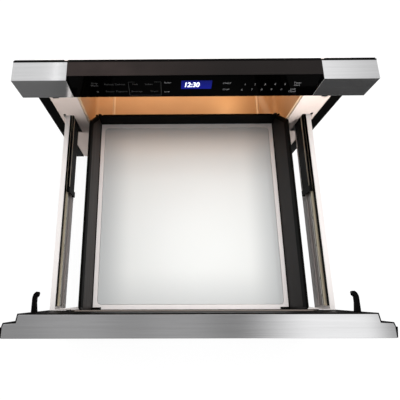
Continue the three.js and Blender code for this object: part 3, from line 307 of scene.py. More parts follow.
add_node(tree, "OutputMaterial", {"Surface": shell.outputs[0]})
dress(galvanised, "base_pan", "back_panel", "slide_mount_right", "slide_mount_left")


# ---------------------------------------------------------------- outer cover
# A wrapper of folded steel sheet with a smooth white powder coat. The coat has a faint orange
# peel, drawn 4 mm wide so that it shows.


def clouded(name, cloud, shades, surface, relief=None, rough=None):
    """A finish whose colour drifts between two shades in clouds of a size and detail. A relief of
    size, detail, strength and depth gives it a fine grain, and rough is its roughness at either
    end of the clouds. Sizes are in metres, and surface holds the shader's other settings."""
    material, tree = own_material(name)
    where = add_node(tree, "TexCoord")
    drift = add_node(tree, "TexNoise", {"Vector": where.outputs["Object"], "Scale": 1 / cloud[0],
                                        "Detail": cloud[1]})
    colour = add_node(tree, "Mix", {0: drift.outputs["Fac"], 6: linear(shades[0]), 7: linear(shades[1])},
                      data_type="RGBA")
    settings = {"Base Color": colour.outputs[2], **surface}
    if rough:
        gloss = add_node(tree, "MapRange", {"Value": drift.outputs["Fac"], "To Min": rough[0],
                                            "To Max": rough[1]})
        settings["Roughness"] = gloss.outputs[0]
    if relief:
        size, detail, strength, depth = relief
        grain = add_node(tree, "TexNoise", {"Vector": where.outputs["Object"], "Scale": 1 / size,
                                            "Detail": detail})
        bump = add_node(tree, "Bump", {"Height": grain.outputs["Fac"], "Strength": strength,
                                       "Distance": depth})
        settings["Normal"] = bump.outputs[0]
    shell = add_node(tree, "BsdfPrincipled", settings)
    add_node(tree, "OutputMaterial", {"Surface": shell.outputs[0]})
    return material


cover_paint = clouded("white_powder_coat_on_steel", (0.12, 2.0), ("#f6f5f4", "#fbfafa"),
                      {"Roughness": 0.48, "IOR": 1.5, "Specular IOR Level": 0.4},
                      relief=(0.004, 2.0, 0.04, 0.0003))
dress(cover_paint, "outer_cover")


# ---------------------------------------------------------------- cabinet screws
# Zinc-plated pan-head screws, 7 mm across, hold the cover to the pan and the back panel. Each
# has a cross recess and stands as the driver left it, at an angle of its own.


def ring_faces(rows, columns):
    """Faces of a grid of points whose rows are closed rings, with a face over both end rings."""
    row, column = np.meshgrid(np.arange(rows - 1), np.arange(columns), indexing="ij")
    after = (column + 1) % columns
    cells = np.stack([row * columns + column, row * columns + after,
                      (row + 1) * columns + after, (row + 1) * columns + column], -1).reshape(-1, 4)
    faces = [tuple(cell) for cell in cells.tolist()]
    faces.append(tuple(range(columns - 1, -1, -1)))
    faces.append(tuple(range((rows - 1) * columns, rows * columns)))
    return faces


def screw_head(radius, height):
    """Points and faces of a pan head with its cross recess. On a grid of distance r from the axis
    and angle, both as shares, the height is the head's times 1 - 0.85 r to the power 4, less half
    the head where r is under 0.6 and either arm of the cross is under 0.15 away."""
    angle = np.linspace(0, 2 * np.pi, 28, endpoint=False)
    reach, turn = np.meshgrid(np.array([0.05, 0.14, 0.3, 0.45, 0.55, 0.62, 0.75, 0.88, 1.0]), angle,
                              indexing="ij")
    x = reach * np.cos(turn)
    y = reach * np.sin(turn)
    arm = (np.minimum(np.abs(x), np.abs(y)) < 0.15) & (reach < 0.6)
    z = height * (1 - 0.85 * reach ** 4 - 0.5 * arm)
    top = np.stack([x * radius, y * radius, z], -1)
    grid = np.concatenate([top, top[-1:] * [1, 1, 0]])
    return grid.reshape(-1, 3), ring_faces(*grid.shape[:2])


def repeated(shape, places, axes):
    """Copies one shape to many places: a copy's point is its place plus the shape's x, y and z
    along the copy's three axes."""
    points, faces = shape
    places = np.asarray(places, float)
    copies = places[:, None, :] + np.einsum("pi,kij->kpj", points, np.asarray(axes, float))
    all_faces = [tuple(corner + copy * len(points) for corner in face)
                 for copy in range(len(places)) for face in faces]
    return copies.reshape(-1, 3), all_faces


def joined(shapes):
    """One set of points and faces from several."""
    starts = np.cumsum([0] + [len(shape[0]) for shape in shapes]).tolist()
    faces = [tuple(corner + start for corner in face)
             for start, shape in zip(starts, shapes) for face in shape[1]]
    return np.concatenate([np.asarray(shape[0], float) for shape in shapes]), faces


def facing(out, lean):
    """Three axes for a shape whose z points along out, turned by lean in radians about it."""
    out = np.asarray(out, float)
    side = np.cross([0, 0, 1.0], out)
    up = np.cross(out, side)
    return [math.cos(lean) * side + math.sin(lean) * up, math.cos(lean) * up - math.sin(lean) * side, out]


def fixed_piece(name, shape, material, body):
    """A new closed piece, faces outwards, that rides on a body and takes the given material."""
    piece = mesh_object(name, *shape, material)
    form = bmesh.new()
    form.from_mesh(piece.data)
    bmesh.ops.recalc_face_normals(form, faces=form.faces)
    form.to_mesh(piece.data)
    form.free()
    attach(piece, body)
    return piece


# Bright zinc plate: a silvery sheen with faint yellowish clouds. Black oxide: a soft dark gloss.
screw_zinc = clouded("zinc_plated_screw", (0.006, 2.0), ("#a8a49a", "#c9c8c4"),
                     {"Metallic": 1.0, "Roughness": 0.32})
black_screw = clouded("black_oxide_screw", (0.004, 2.0), ("#1a1816", "#322e2b"),
                      {"Metallic": 0.9, "Roughness": 0.45})

cover_low, cover_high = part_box("outer_cover")
screw_line = cover_low.z + 0.0115
side_places = [(side * cover_high.x, y, screw_line) for side in (-1, 1)
               for y in np.linspace(cover_low.y + 0.03, cover_high.y - 0.03, 6)]
side_axes = [facing((math.copysign(1, place[0]), 0, 0), 0.3 + index)
             for index, place in enumerate(side_places)]
panel_low, panel_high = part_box("back_panel")
edge = 0.009
back_places = [(x, panel_high.y, z) for x in (panel_low.x + edge, panel_high.x - edge)
               for z in np.linspace(panel_low.z + 0.02, panel_high.z - 0.02, 4)]
back_places += [(x, panel_high.y, panel_high.z - edge) for x in np.linspace(-0.19, 0.19, 4)]
back_axes = [facing((0, 1, 0), 0.7 * index) for index in range(len(back_places))]
fixed_piece("cabinet_screws",
            repeated(screw_head(radius=0.0035, height=0.0019), side_places + back_places,
                     side_axes + back_axes),
            screw_zinc, "cabinet")


# ---------------------------------------------------------------- oven cavity
# A welded box of steel sheet with a warm pale enamel. Its floor has two raised beads that run
# back, and coved corners along both sides. Its lamp lights it amber.


def carried(profile, path, across=(1, 0, 0), up=(0, 0, 1)):
    """Points and faces of a closed profile carried along a path: each point is a path point plus
    the profile's two offsets along two fixed axes, and both ends are closed."""
    profile = np.asarray(profile, float)
    path = np.asarray(path, float)
    offsets = profile[:, :1] * np.asarray(across, float) + profile[:, 1:] * np.asarray(up, float)
    points = path[:, None, :] + offsets[None, :, :]
    return points.reshape(-1, 3), ring_faces(*points.shape[:2])


def both_sides(profile, path, up=(0, 0, 1)):
    """A profile carried along a path on the right, and its mirror image in X on the left."""
    return joined([carried(profile, path, up=up),
                   carried(np.multiply(profile, [-1, 1]), np.multiply(path, [-1, 1, 1]), up=up)])


def arc(middle, radius, start, stop, steps):
    """Points of an arc: the middle plus the radius times cosine and sine of the angle in degrees."""
    angle = np.radians(np.linspace(start, stop, steps))
    return np.stack([middle[0] + radius * np.cos(angle), middle[1] + radius * np.sin(angle)], -1)


# Enamel fired on steel: a soft gloss over a slightly pitted face.
enamel = clouded("cream_oven_enamel", (0.04, 4.0), ("#dcbc98", "#e6caaa"),
                 {"Roughness": 0.42, "IOR": 1.52}, relief=(0.003, 2.0, 0.06, 0.0003))
dress(enamel, "cavity_box")

cavity_half = 0.222
cavity_floor = 0.151
cavity_front = -0.272
cavity_back = 0.1502
skin_gap = 0.0001
cove_radius = 0.011
cavity_run = [(0, cavity_front, 0), (0, cavity_back - 0.0006, 0)]
cove_corner = (cavity_half - skin_gap, cavity_floor + skin_gap)
cove = np.concatenate([arc((cove_corner[0] - cove_radius, cove_corner[1] + cove_radius),
                           cove_radius, -90, 0, 9), [cove_corner]])
fixed_piece("cavity_coves", both_sides(cove, cavity_run), enamel, "cabinet")

# The beads have a paler, shinier enamel as a painted highlight, so they catch the lamp as two bright
# lines.
bead_highlight_enamel = clouded("pale_bead_highlight_enamel", (0.02, 3.0), ("#f4e2cc", "#fbf0e2"),
                      {"Roughness": 0.3, "IOR": 1.52})
bead_x = 0.176
bead_half = 0.0035
bead_rise = 0.0022
bead_crown = 0.0012
bead = np.concatenate([arc((bead_x, cavity_floor + bead_rise - bead_crown), bead_crown, 150, 30, 5),
                       [(bead_x + bead_half, cavity_floor + skin_gap),
                        (bead_x - bead_half, cavity_floor + skin_gap)]])
fixed_piece("cavity_floor_beads", both_sides(bead, cavity_run), bead_highlight_enamel, "cabinet")

# Frosted lamp glass that glows amber.
lamp_glass, tree = own_material("lit_lamp_glass")
shell = add_node(tree, "BsdfPrincipled", {
    "Base Color": linear("#ffe2b4"), "Roughness": 0.25, "IOR": 1.5,
    "Emission Color": linear("#ffc987"), "Emission Strength": 1.5})
add_node(tree, "OutputMaterial", {"Surface": shell.outputs[0]})
dress(lamp_glass, "cavity_lamp")

oven_lamp = area_lamp("oven_lamp", (-0.05, -0.08, 0.345), (-0.05, -0.10, 0.151), 0.36, 0.66)
oven_lamp.data.color = linear("#ffd4a6")[:3]
oven_lamp.data.spread = math.radians(130)
bulb_data = bpy.data.lights.new("oven_bulb", "POINT")
bulb_data.energy = 0.05
bulb_data.color = linear("#ffd8a8")[:3]
bulb_data.shadow_soft_size = 0.012
bulb = bpy.data.objects.new("oven_bulb", bulb_data)
bulb.location = (0.103, -0.208, 0.200)
scene.collection.objects.link(bulb)


# ---------------------------------------------------------------- front plate
# Punched steel plate with a pinkish white powder coat of soft gloss, its peel drawn 3 mm wide. A
# raised flange stands on each side of the oven mouth, above the closed drawer's gussets, and a
# black screw sits above each slide.

plate_paint = clouded("warm_white_powder_coat", (0.035, 3.0), ("#e8d6cc", "#f2e2d9"), {"IOR": 1.5},
                      relief=(0.003, 2.0, 0.05, 0.0003), rough=(0.36, 0.5))
dress(plate_paint, "front_plate")

plate_front = -0.275
mouth_half = 0.226
flange_foot = 0.186
flange_top = 0.3365
flange_width = 0.016
flange_rise = 0.0009
flange_sink = 0.0002
flange = np.array([(0, flange_sink), (0, 0.0003 - flange_rise), (0.0003, -flange_rise),
                   (flange_width - 0.0006, -flange_rise), (flange_width, flange_sink)])
upright = [(0, plate_front, flange_foot), (0, plate_front, flange_top)]
fixed_piece("mouth_flange", both_sides(flange + [mouth_half, 0], upright, up=(0, 1, 0)),
            plate_paint, "cabinet")
plate_spots = [(side * 0.2708, plate_front, 0.2240) for side in (-1, 1)]
fixed_piece("plate_screws",
            repeated(screw_head(radius=0.0028, height=0.0014), plate_spots,
                     [facing((0, -1, 0), 0.9)] * 2),
            black_screw, "cabinet")


# ---------------------------------------------------------------- black moulded trim
# Pillars, carrier strip, slide clips, inner door, end caps and hooks are black ABS moulded with a
# fine spark-eroded grain, drawn 1.2 mm coarse, so they shine only a little. A strip of black foam
# along the head's top edge seals it to the cupboard.

black_abs = clouded("grained_black_abs", (0.03, 5.0), ("#030303", "#0c0b0a"),
                    {"IOR": 1.46, "Specular IOR Level": 0.05},
                    relief=(0.0012, 2.0, 0.12, 0.0002), rough=(0.38, 0.6))

fine_edge = 0.0003
folded_edge = 0.0004
moulded_edge = 0.0005


def rounded_copy(name, radius, material, steps=2):
    """A merged copy of a CAD piece that stands for it, with its sharp edges rounded. Neighbours in
    one plane become one face, and then each edge that turns by more than 35 degrees gets the radius
    in metres."""
    mesh = nodes[name].data.copy()
    mesh.name = name + "_rounded"
    mesh.materials.clear()
    mesh.materials.append(material)
    form = bmesh.new()
    form.from_mesh(mesh)
    bmesh.ops.remove_doubles(form, verts=form.verts, dist=0.00001)
    bmesh.ops.dissolve_limit(form, angle_limit=math.radians(0.4), verts=form.verts, edges=form.edges)
    form.to_mesh(mesh)
    form.free()
    mesh.attributes.remove(mesh.attributes["custom_normal"])
    mesh.shade_smooth()
    piece = bpy.data.objects.new(name + "_rounded", mesh)
    scene.collection.objects.link(piece)
    bevel = piece.modifiers.new("rounded_edges", "BEVEL")
    bevel.width = radius
    bevel.segments = steps
    bevel.limit_method = "ANGLE"
    bevel.angle_limit = math.radians(35)
    bevel.harden_normals = True
    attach(piece, nodes[name]["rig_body"])
    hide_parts(name)
    return piece


for side in ("right", "left"):
    rounded_copy("pillar_" + side, moulded_edge, black_abs)
    rounded_copy("rail_clip_" + side, folded_edge, black_abs)
rounded_copy("head_carrier", fine_edge, black_abs)

# Closed-cell foam: a dead matt black, its cells drawn 1 mm wide.
foam, tree = own_material("black_closed_cell_foam")
where = add_node(tree, "TexCoord")
cells = add_node(tree, "TexVoronoi", {"Vector": where.outputs["Object"], "Scale": 1 / 0.001}, feature="F1")
blacks = add_node(tree, "Mix", {0: cells.outputs["Distance"], 6: linear("#050505"), 7: linear("#010101")},
                  data_type="RGBA")
shell = add_node(tree, "BsdfPrincipled", {"Base Color": blacks.outputs[2], "Roughness": 0.9,
                                          "Specular IOR Level": 0.02})
add_node(tree, "OutputMaterial", {"Surface": shell.outputs[0]})
seal_back = -0.2772
seal_front = -0.2803
seal_foot = 0.3962
seal_top = 0.4020
seal = [(seal_front, seal_foot), (seal_back, seal_foot), (seal_back + 0.0002, seal_top - 0.0016),
        (seal_back - 0.0005, seal_top - 0.0006), (seal_front, seal_top)]
seal_runs = [(-0.302, -0.2183), (-0.2117, 0.2117), (0.2183, 0.302)]
fixed_piece("head_top_seal",
            joined([carried(seal, [(start, 0, 0), (stop, 0, 0)], across=(0, 1, 0))
                    for start, stop in seal_runs]),
            foam, "cabinet")


# ---------------------------------------------------------------- control head blocks
# The two end blocks are shells of 1 mm stainless steel, belt-brushed along the unit's width. The
# brushing smears highlights across the grain and leaves hairlines along it, drawn 1.3 mm wide.


def drawn_out(tree, where, size, detail):
    """A grain drawn out into lines: noise on coordinates that are divided, axis by axis, by the
    size of a line in metres."""
    lines = add_node(tree, "Mapping", {"Vector": where.outputs["Object"],
                                       "Scale": tuple(1 / length for length in size)})
    return add_node(tree, "TexNoise", {"Vector": lines.outputs[0], "Scale": 1.0, "Detail": detail})


brushed, tree = own_material("belt_brushed_stainless")
where = add_node(tree, "TexCoord")
hairs = drawn_out(tree, where, (0.09, 0.0013, 0.0013), 3.0)
bands = drawn_out(tree, where, (0.25, 0.006, 0.006), 2.0)
mixed = add_node(tree, "Math", {0: hairs.outputs["Fac"], 1: bands.outputs["Fac"]}, operation="ADD")
greys = add_node(tree, "MapRange", {"Value": mixed.outputs[0], "From Min": 0.7, "From Max": 1.3})
steels = add_node(tree, "Mix", {0: greys.outputs[0], 6: linear("#d5d5d6"), 7: linear("#dfdfe0")},
                  data_type="RGBA")
rough = add_node(tree, "MapRange", {"Value": hairs.outputs["Fac"], "From Min": 0.3, "From Max": 0.7,
                                    "To Min": 0.10, "To Max": 0.15})
bump = add_node(tree, "Bump", {"Height": hairs.outputs["Fac"], "Strength": 0.05, "Distance": 0.0002})
# The smear runs square to the brushing: along the normal's cross product with X, and along Y on
# the end faces, where that product is nothing.
turned = add_node(tree, "NewGeometry")
square = add_node(tree, "VectorMath", {0: turned.outputs["Normal"], 1: (1.0, 0.0, 0.0)},
                  operation="CROSS_PRODUCT")
square = add_node(tree, "VectorMath", {0: square.outputs[0], 1: (0.0, 0.02, 0.0)}, operation="ADD")
shell = add_node(tree, "BsdfPrincipled", {
    "Base Color": steels.outputs[2], "Metallic": 1.0, "Roughness": rough.outputs[0],
    "Anisotropic": 0.9, "Tangent": square.outputs[0], "Normal": bump.outputs[0]})
add_node(tree, "OutputMaterial", {"Surface": shell.outputs[0]})
for side in ("right", "left"):
    rounded_copy("end_block_" + side, folded_edge, brushed)


# ---------------------------------------------------------------- control housing and glass
# Dark brown-grey moulded housing, closed by a tinted glass with a polished face. The legends are
# screen-printed behind it in grey, and the clock shows white figures on a lit blue window.

# Satin moulding with painted light: browner and lighter on the left, darker on the right, where the room
# lights it warmly on the left.
housing_paint, tree = own_material("satin_charcoal_housing")
where = add_node(tree, "TexCoord")
worn = add_node(tree, "TexNoise", {"Vector": where.outputs["Object"], "Scale": 1 / 0.05, "Detail": 4.0})
head_painted_light_share = share_along(tree, where, "X", -0.15, 0.05)
painted_lit_browns = add_node(tree, "Mix", {0: head_painted_light_share.outputs[0], 6: linear("#3a312f"), 7: linear("#1a1716")},
                  data_type="RGBA")
tints = add_node(tree, "Mix", {0: worn.outputs["Fac"], 6: painted_lit_browns.outputs[2], 7: linear("#1f1b1a")},
                 data_type="RGBA")
grain = add_node(tree, "TexNoise", {"Vector": where.outputs["Object"], "Scale": 1 / 0.001, "Detail": 1.0})
bump = add_node(tree, "Bump", {"Height": grain.outputs["Fac"], "Strength": 0.08, "Distance": 0.0002})
shell = add_node(tree, "BsdfPrincipled", {
    "Base Color": tints.outputs[2], "Roughness": 0.42, "IOR": 1.46, "Specular IOR Level": 0.1,
    "Normal": bump.outputs[0]})
add_node(tree, "OutputMaterial", {"Surface": shell.outputs[0]})
rounded_copy("control_housing", moulded_edge, housing_paint)

# Tinted glass: deep black with a faint, slightly wavy mirror.
tinted, tree = own_material("polished_black_glass")
where = add_node(tree, "TexCoord")
ripple = add_node(tree, "TexNoise", {"Vector": where.outputs["Object"], "Scale": 1 / 0.09, "Detail": 1.0})
bump = add_node(tree, "Bump", {"Height": ripple.outputs["Fac"], "Strength": 0.02, "Distance": 0.0005})
shell = add_node(tree, "BsdfPrincipled", {
    "Base Color": linear("#010101"), "Roughness": 0.04, "IOR": 1.5, "Specular IOR Level": 0.015,
    "Normal": bump.outputs[0]})
add_node(tree, "OutputMaterial", {"Surface": shell.outputs[0]})
rounded_copy("control_glass", folded_edge, tinted)

glass_top = np.array([0, -0.3106, 0.403])
glass_lean = 0.0084
glass_height = 0.048
glass_down = np.array([0, -glass_lean, -glass_height]) / math.hypot(glass_lean, glass_height)
glass_out = np.array([0, -glass_height, glass_lean]) / math.hypot(glass_lean, glass_height)
print_proud = 0.00012


def on_glass(across, down, proud=print_proud):
    """Points on the glass: its top edge, plus across along X, down along the slope and proud out."""
    across, down = np.broadcast_arrays(np.asarray(across, float), np.asarray(down, float))
    return glass_top + across[..., None] * [1, 0, 0] + down[..., None] * glass_down + proud * glass_out


def lettering(words, x, down, height, width=1.0, shear=0.0, weight=0.0, align="LEFT"):
    """Points and faces of flat words on the glass. Their letters are height tall and squeezed to
    a share of their width, and their foot lies down metres below the glass's top edge."""
    curve = bpy.data.curves.new("words", "FONT")
    curve.body = words
    curve.size = height / 0.7
    curve.shear = shear
    curve.offset = weight
    curve.align_x = align
    text = bpy.data.objects.new("words", curve)
    scene.collection.objects.link(text)
    bpy.context.view_layer.update()
    flat = bpy.data.meshes.new_from_object(text.evaluated_get(bpy.context.evaluated_depsgraph_get()))
    corners = np.empty(len(flat.vertices) * 3)
    flat.vertices.foreach_get("co", corners)
    corners = corners.reshape(-1, 3)
    faces = [tuple(face.vertices) for face in flat.polygons]
    bpy.data.objects.remove(text)
    return on_glass(x + width * corners[:, 0], down - corners[:, 1]), faces


def bar(x0, x1, down0, down1, proud=print_proud):
    """Points and the face of a flat printed rectangle on the glass."""
    return on_glass([x0, x1, x1, x0], [down1, down1, down0, down0], proud), [(0, 1, 2, 3)]


def printed_piece(name, shapes, material):
    """Flat print on the glass, as one piece of the cabinet."""
    points, faces = joined(shapes)
    piece = mesh_object(name, points, faces, material)
    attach(piece, "cabinet")
    return piece


# Screen ink seen through tinted glass: a plain matt grey for the keys, and a dim one for the rest.
ink = clouded("grey_screen_print", (0.002, 1.0), ("#69696b", "#808082"), {"Roughness": 0.5})
faint_ink = clouded("dim_screen_print", (0.002, 1.0), ("#1d1d1e", "#29292a"), {"Roughness": 0.5})

digit_height = 0.0042
digit_columns = np.array([0.0872, 0.1042, 0.1212, 0.1382, 0.1552])
strong = [lettering(str(index + 1), x, 0.0228, digit_height, align="CENTER")
          for index, x in enumerate(digit_columns)]
strong += [lettering(str((index + 6) % 10), x, 0.0345, digit_height, align="CENTER")
           for index, x in enumerate(digit_columns - 0.003)]
strong += [lettering(*word) for word in (
    ("START", 0.0490, 0.0195, 0.0034), ("STOP", 0.0505, 0.0335, 0.0034),
    ("Timer", 0.1690, 0.0195, 0.0036), ("Clock", 0.1710, 0.0245, 0.0030),
    ("Lock", 0.1675, 0.0335, 0.0034), ("Open", 0.1660, 0.0390, 0.0040),
    ("Power", -0.0505, 0.0170, 0.0032), ("Level", -0.0505, 0.0375, 0.0030))]
printed_piece("legends", strong, ink)

dot_radius = 0.0022
dot_angle = np.linspace(0, 2 * np.pi, 20, endpoint=False)
dot = (on_glass(-0.1665 + dot_radius * np.cos(dot_angle), 0.0355 + dot_radius * np.sin(dot_angle)),
       [tuple(range(19, -1, -1))])
line = 0.0006
corner_line = 0.012
frame_left = -0.1115
frame_right = -0.0555
frame_top = 0.0135
frame_foot = 0.0445
faint = [dot] + [lettering(*word, weight=0.0002) for word in (
    ("Keep", -0.1740, 0.0178, 0.0034), ("Warm", -0.1760, 0.0228, 0.0034))]
faint += [lettering(*word) for word in (
    ("Reheat", -0.1525, 0.0205, 0.0040), ("Defrost", -0.1345, 0.0205, 0.0040),
    ("Sensor", -0.1525, 0.0365, 0.0040), ("Popcorn", -0.1345, 0.0365, 0.0040),
    ("Melt", -0.1045, 0.0205, 0.0036), ("Soften", -0.0835, 0.0205, 0.0036),
    ("Beverage", -0.1075, 0.0365, 0.0036), ("Warm", -0.0745, 0.0365, 0.0036))]
faint += [
    bar(frame_left, frame_left + line, frame_top, frame_foot),
    bar(frame_right - line, frame_right, frame_top, frame_foot),
    bar(frame_left, frame_right, frame_foot - line, frame_foot),
    bar(frame_left, frame_left + corner_line, frame_top, frame_top + line),
    bar(frame_right - corner_line, frame_right, frame_top, frame_top + line),
]
printed_piece("dim_legends", faint, faint_ink)

# Lit display film: a flat deep blue glow, a little darker towards the top.
window_blue, tree = own_material("lit_blue_display")
where = add_node(tree, "TexCoord")
fade = share_along(tree, where, "Z", 0.370, 0.392)
blues = add_node(tree, "Mix", {0: fade.outputs[0], 6: linear("#03108c"), 7: linear("#020a64")},
                 data_type="RGBA")
shell = add_node(tree, "BsdfPrincipled", {
    "Base Color": linear("#010410"), "Roughness": 0.2, "Specular IOR Level": 0.1,
    "Emission Color": blues.outputs[2], "Emission Strength": 1.0})
add_node(tree, "OutputMaterial", {"Surface": shell.outputs[0]})
dress(window_blue, "display_module")
window = bar(-0.0215, 0.0305, 0.0115, 0.0300, print_proud / 2)
printed_piece("display_window", [window], window_blue)

# Lit figures: a nearly even white glow.
digit_white, tree = own_material("lit_white_segments")
where = add_node(tree, "TexCoord")
cells = add_node(tree, "TexNoise", {"Vector": where.outputs["Object"], "Scale": 1 / 0.003})
glows = add_node(tree, "Mix", {0: cells.outputs["Fac"], 6: linear("#e4ecff"), 7: linear("#ffffff")},
                 data_type="RGBA")
shell = add_node(tree, "BsdfPrincipled", {
    "Base Color": linear("#c8d2ee"), "Roughness": 0.4, "Emission Color": glows.outputs[2],
    "Emission Strength": 0.9})
add_node(tree, "OutputMaterial", {"Surface": shell.outputs[0]})
clock = lettering("12:30", -0.0170, 0.0255, 0.0100, width=0.84, shear=0.08, weight=0.0004)
printed_piece("clock_digits", [clock], digit_white)


# ---------------------------------------------------------------- slide rails
# Roll-formed steel telescopic slides. The fixed and middle rails are black-oiled with a bright track,
# partly worn by the balls and partly a painted highlight, and the drawer's rail is yellow-grey zinc.

# Oiled steel: nearly black, with lengthwise streaks where the oil has rubbed off.
oiled_rail, tree = own_material("black_oiled_rail_steel")
where = add_node(tree, "TexCoord")
place = add_node(tree, "SeparateXYZ", {0: where.outputs["Object"]})
streaks = drawn_out(tree, where, (0.004, 0.12, 0.004), 3.0)
# The bright track at one height is partly ball wear and partly a painted highlight.
highlight_track_height = 0.2060
highlight_track_width = 0.0030
highlight_track_gap = add_node(tree, "Math", {0: place.outputs["Z"], 1: highlight_track_height}, operation="SUBTRACT")
highlight_track_gap = add_node(tree, "Math", {0: highlight_track_gap.outputs[0]}, operation="ABSOLUTE")
worn = add_node(tree, "MapRange", {"Value": highlight_track_gap.outputs[0], "From Min": highlight_track_width / 2,
                                   "From Max": highlight_track_width, "To Min": 0.8, "To Max": 0.0})
amount = add_node(tree, "Math", {0: streaks.outputs["Fac"], 1: worn.outputs[0]}, operation="ADD")
rubbed_and_highlight_share = add_node(tree, "MapRange", {"Value": amount.outputs[0], "From Min": 0.62, "From Max": 1.1})
steels = add_node(tree, "Mix", {0: rubbed_and_highlight_share.outputs[0], 6: linear("#030202"), 7: linear("#e6d9c4")},
                  data_type="RGBA")
rough = add_node(tree, "MapRange", {"Value": rubbed_and_highlight_share.outputs[0], "To Min": 0.5, "To Max": 0.3})
shell = add_node(tree, "BsdfPrincipled", {
    "Base Color": steels.outputs[2], "Roughness": rough.outputs[0], "Specular IOR Level": 0.04})
add_node(tree, "OutputMaterial", {"Surface": shell.outputs[0]})

# Yellow zinc under grease: pale bands of painted highlight at the rail's bends, a narrow dark band below
# them, and a duller grey foot.
zinc_rail, tree = own_material("yellow_zinc_rail_steel")
where = add_node(tree, "TexCoord")
rail_share = share_along(tree, where, "Z", 0.177, 0.204)
painted_highlight_zones = add_node(tree, "ValToRGB", {0: rail_share.outputs[0]})
painted_highlight_zones.color_ramp.interpolation = "CONSTANT"
painted_highlight_zones.color_ramp.elements[0].color = linear("#b3aaa7")
painted_highlight_zones.color_ramp.elements[1].position = 0.38
painted_highlight_zones.color_ramp.elements[1].color = linear("#5b5350")
for position, colour in ((0.46, "#fffaf2"), (0.60, "#b8ae98"), (0.68, "#f2e8d2"), (0.86, "#c9bfa8")):
    painted_highlight_zones.color_ramp.elements.new(position).color = linear(colour)
streaks = drawn_out(tree, where, (0.004, 0.10, 0.004), 3.0)
shade = add_node(tree, "MapRange", {"Value": streaks.outputs["Fac"], "From Min": 0.35, "From Max": 0.7,
                                    "To Min": 0.35, "To Max": 0.0})
steels = add_node(tree, "Mix", {0: shade.outputs[0], 6: painted_highlight_zones.outputs[0], 7: linear("#5d564a")},
                  data_type="RGBA")
shell = add_node(tree, "BsdfPrincipled", {
    "Base Color": steels.outputs[2], "Metallic": 0.2, "Roughness": 0.38})
add_node(tree, "OutputMaterial", {"Surface": shell.outputs[0]})
dress(oiled_rail, "ball_cage_right", "ball_cage_left")
for side in ("right", "left"):
    rounded_copy("cabinet_rail_" + side, folded_edge, oiled_rail)
    rounded_copy("middle_rail_" + side, folded_edge, oiled_rail)
    rounded_copy("drawer_rail_" + side, folded_edge, zinc_rail)


# ---------------------------------------------------------------- drawer brackets
# Long steel angles with a smooth white powder coat tie the drawer front to the slides. Zinc rivets hold
# the drawer's rail to each web, and a black-oiled strip along the rail's top is painted shade under the
# flange.

bracket_paint = clouded("white_powder_coat_on_bracket", (0.05, 3.0), ("#f1eae7", "#f7f3f1"),
                        {"Roughness": 0.42, "IOR": 1.5, "Specular IOR Level": 0.4},
                        relief=(0.003, 2.0, 0.04, 0.0003))
for side in ("right", "left"):
    rounded_copy("drawer_bracket_" + side, folded_edge, bracket_paint)

# Painted shade: a thin black strip on each web, where the flange above shades it.
channel_inner = 0.2601
channel_outer = 0.2609
channel_foot = 0.2043
channel_top = 0.2164
flange_shade_strip = [(channel_inner, channel_foot), (channel_inner, channel_top),
           (channel_outer, channel_top), (channel_outer, channel_foot)]
fixed_piece("rail_top_shade_strips", both_sides(flange_shade_strip, [(0, -0.6799, 0), (0, -0.2299, 0)]),
            oiled_rail, "drawer")

rivet_rows = (-0.660, -0.627, -0.560, -0.502, -0.420, -0.330, -0.262)
rivet_face = 0.2599
rail_middle = 0.1905
rivets = [(side * rivet_face, y, rail_middle) for side in (-1, 1) for y in rivet_rows]
fixed_piece("rail_rivets",
            repeated(screw_head(radius=0.0032, height=0.0009), rivets,
                     [facing((-math.copysign(1, place[0]), 0, 0), 0.5 * index)
                      for index, place in enumerate(rivets)]),
            screw_zinc, "drawer")


# ---------------------------------------------------------------- drawer front
# A folded skin of brushed stainless steel over a black moulded inner door, with a moulded cap on
# each end. A low frame of grey moulding on the inner door's back closes the oven's mouth.

rounded_copy("drawer_front", 0.0010, brushed, steps=3)
rounded_copy("inner_door", fine_edge, black_abs)
for side in ("right", "left"):
    rounded_copy("end_cap_" + side, moulded_edge, black_abs)
    rounded_copy("latch_hook_" + side, 0.0012, black_abs, steps=3)
    rounded_copy("latch_switch_" + side, 0.0006, black_abs)

door_back = -0.6879
choke_base = door_back - 0.0001
choke_half = 0.219
choke_top = 0.2555
choke_foot = 0.160
choke_bar = 0.006
choke_rise = 0.0022
choke_chamfer = 0.0008
raised = np.array([(0, 0), (0, choke_rise - choke_chamfer), (choke_chamfer, choke_rise),
                   (choke_bar - choke_chamfer, choke_rise), (choke_bar, choke_rise - choke_chamfer),
                   (choke_bar, 0)])
leg = [(0, choke_base, choke_foot), (0, choke_base, choke_top)]
crossbar = [(side * choke_half, choke_base, choke_top - choke_bar) for side in (-1, 1)]
grey_seal = clouded("grey_moulded_choke_cover", (0.0015, 2.0), ("#6b635d", "#857b74"),
                    {"Roughness": 0.5, "Specular IOR Level": 0.25})
fixed_piece("choke_frame",
            joined([both_sides(raised + [choke_half - choke_bar, 0], leg, up=(0, 1, 0)),
                    carried(raised, crossbar, across=(0, 0, 1), up=(0, 1, 0))]),
            grey_seal, "drawer")


# ---------------------------------------------------------------- bin
# A white moulded tray carries the glass floor. Satin grey side walls with a black rim clip to
# its edges, and a black back wall closes it.

# Moulded polypropylene: a soft waxy gloss on a warm white, its grain drawn 1.5 mm wide.
tray_plastic = clouded("warm_white_polypropylene", (0.03, 3.0), ("#f2ebe9", "#faf5f3"),
                       {"Roughness": 0.35, "IOR": 1.49, "Specular IOR Level": 0.4},
                       relief=(0.0015, 1.0, 0.06, 0.0002))
rounded_copy("bin_tray", moulded_edge, tray_plastic)
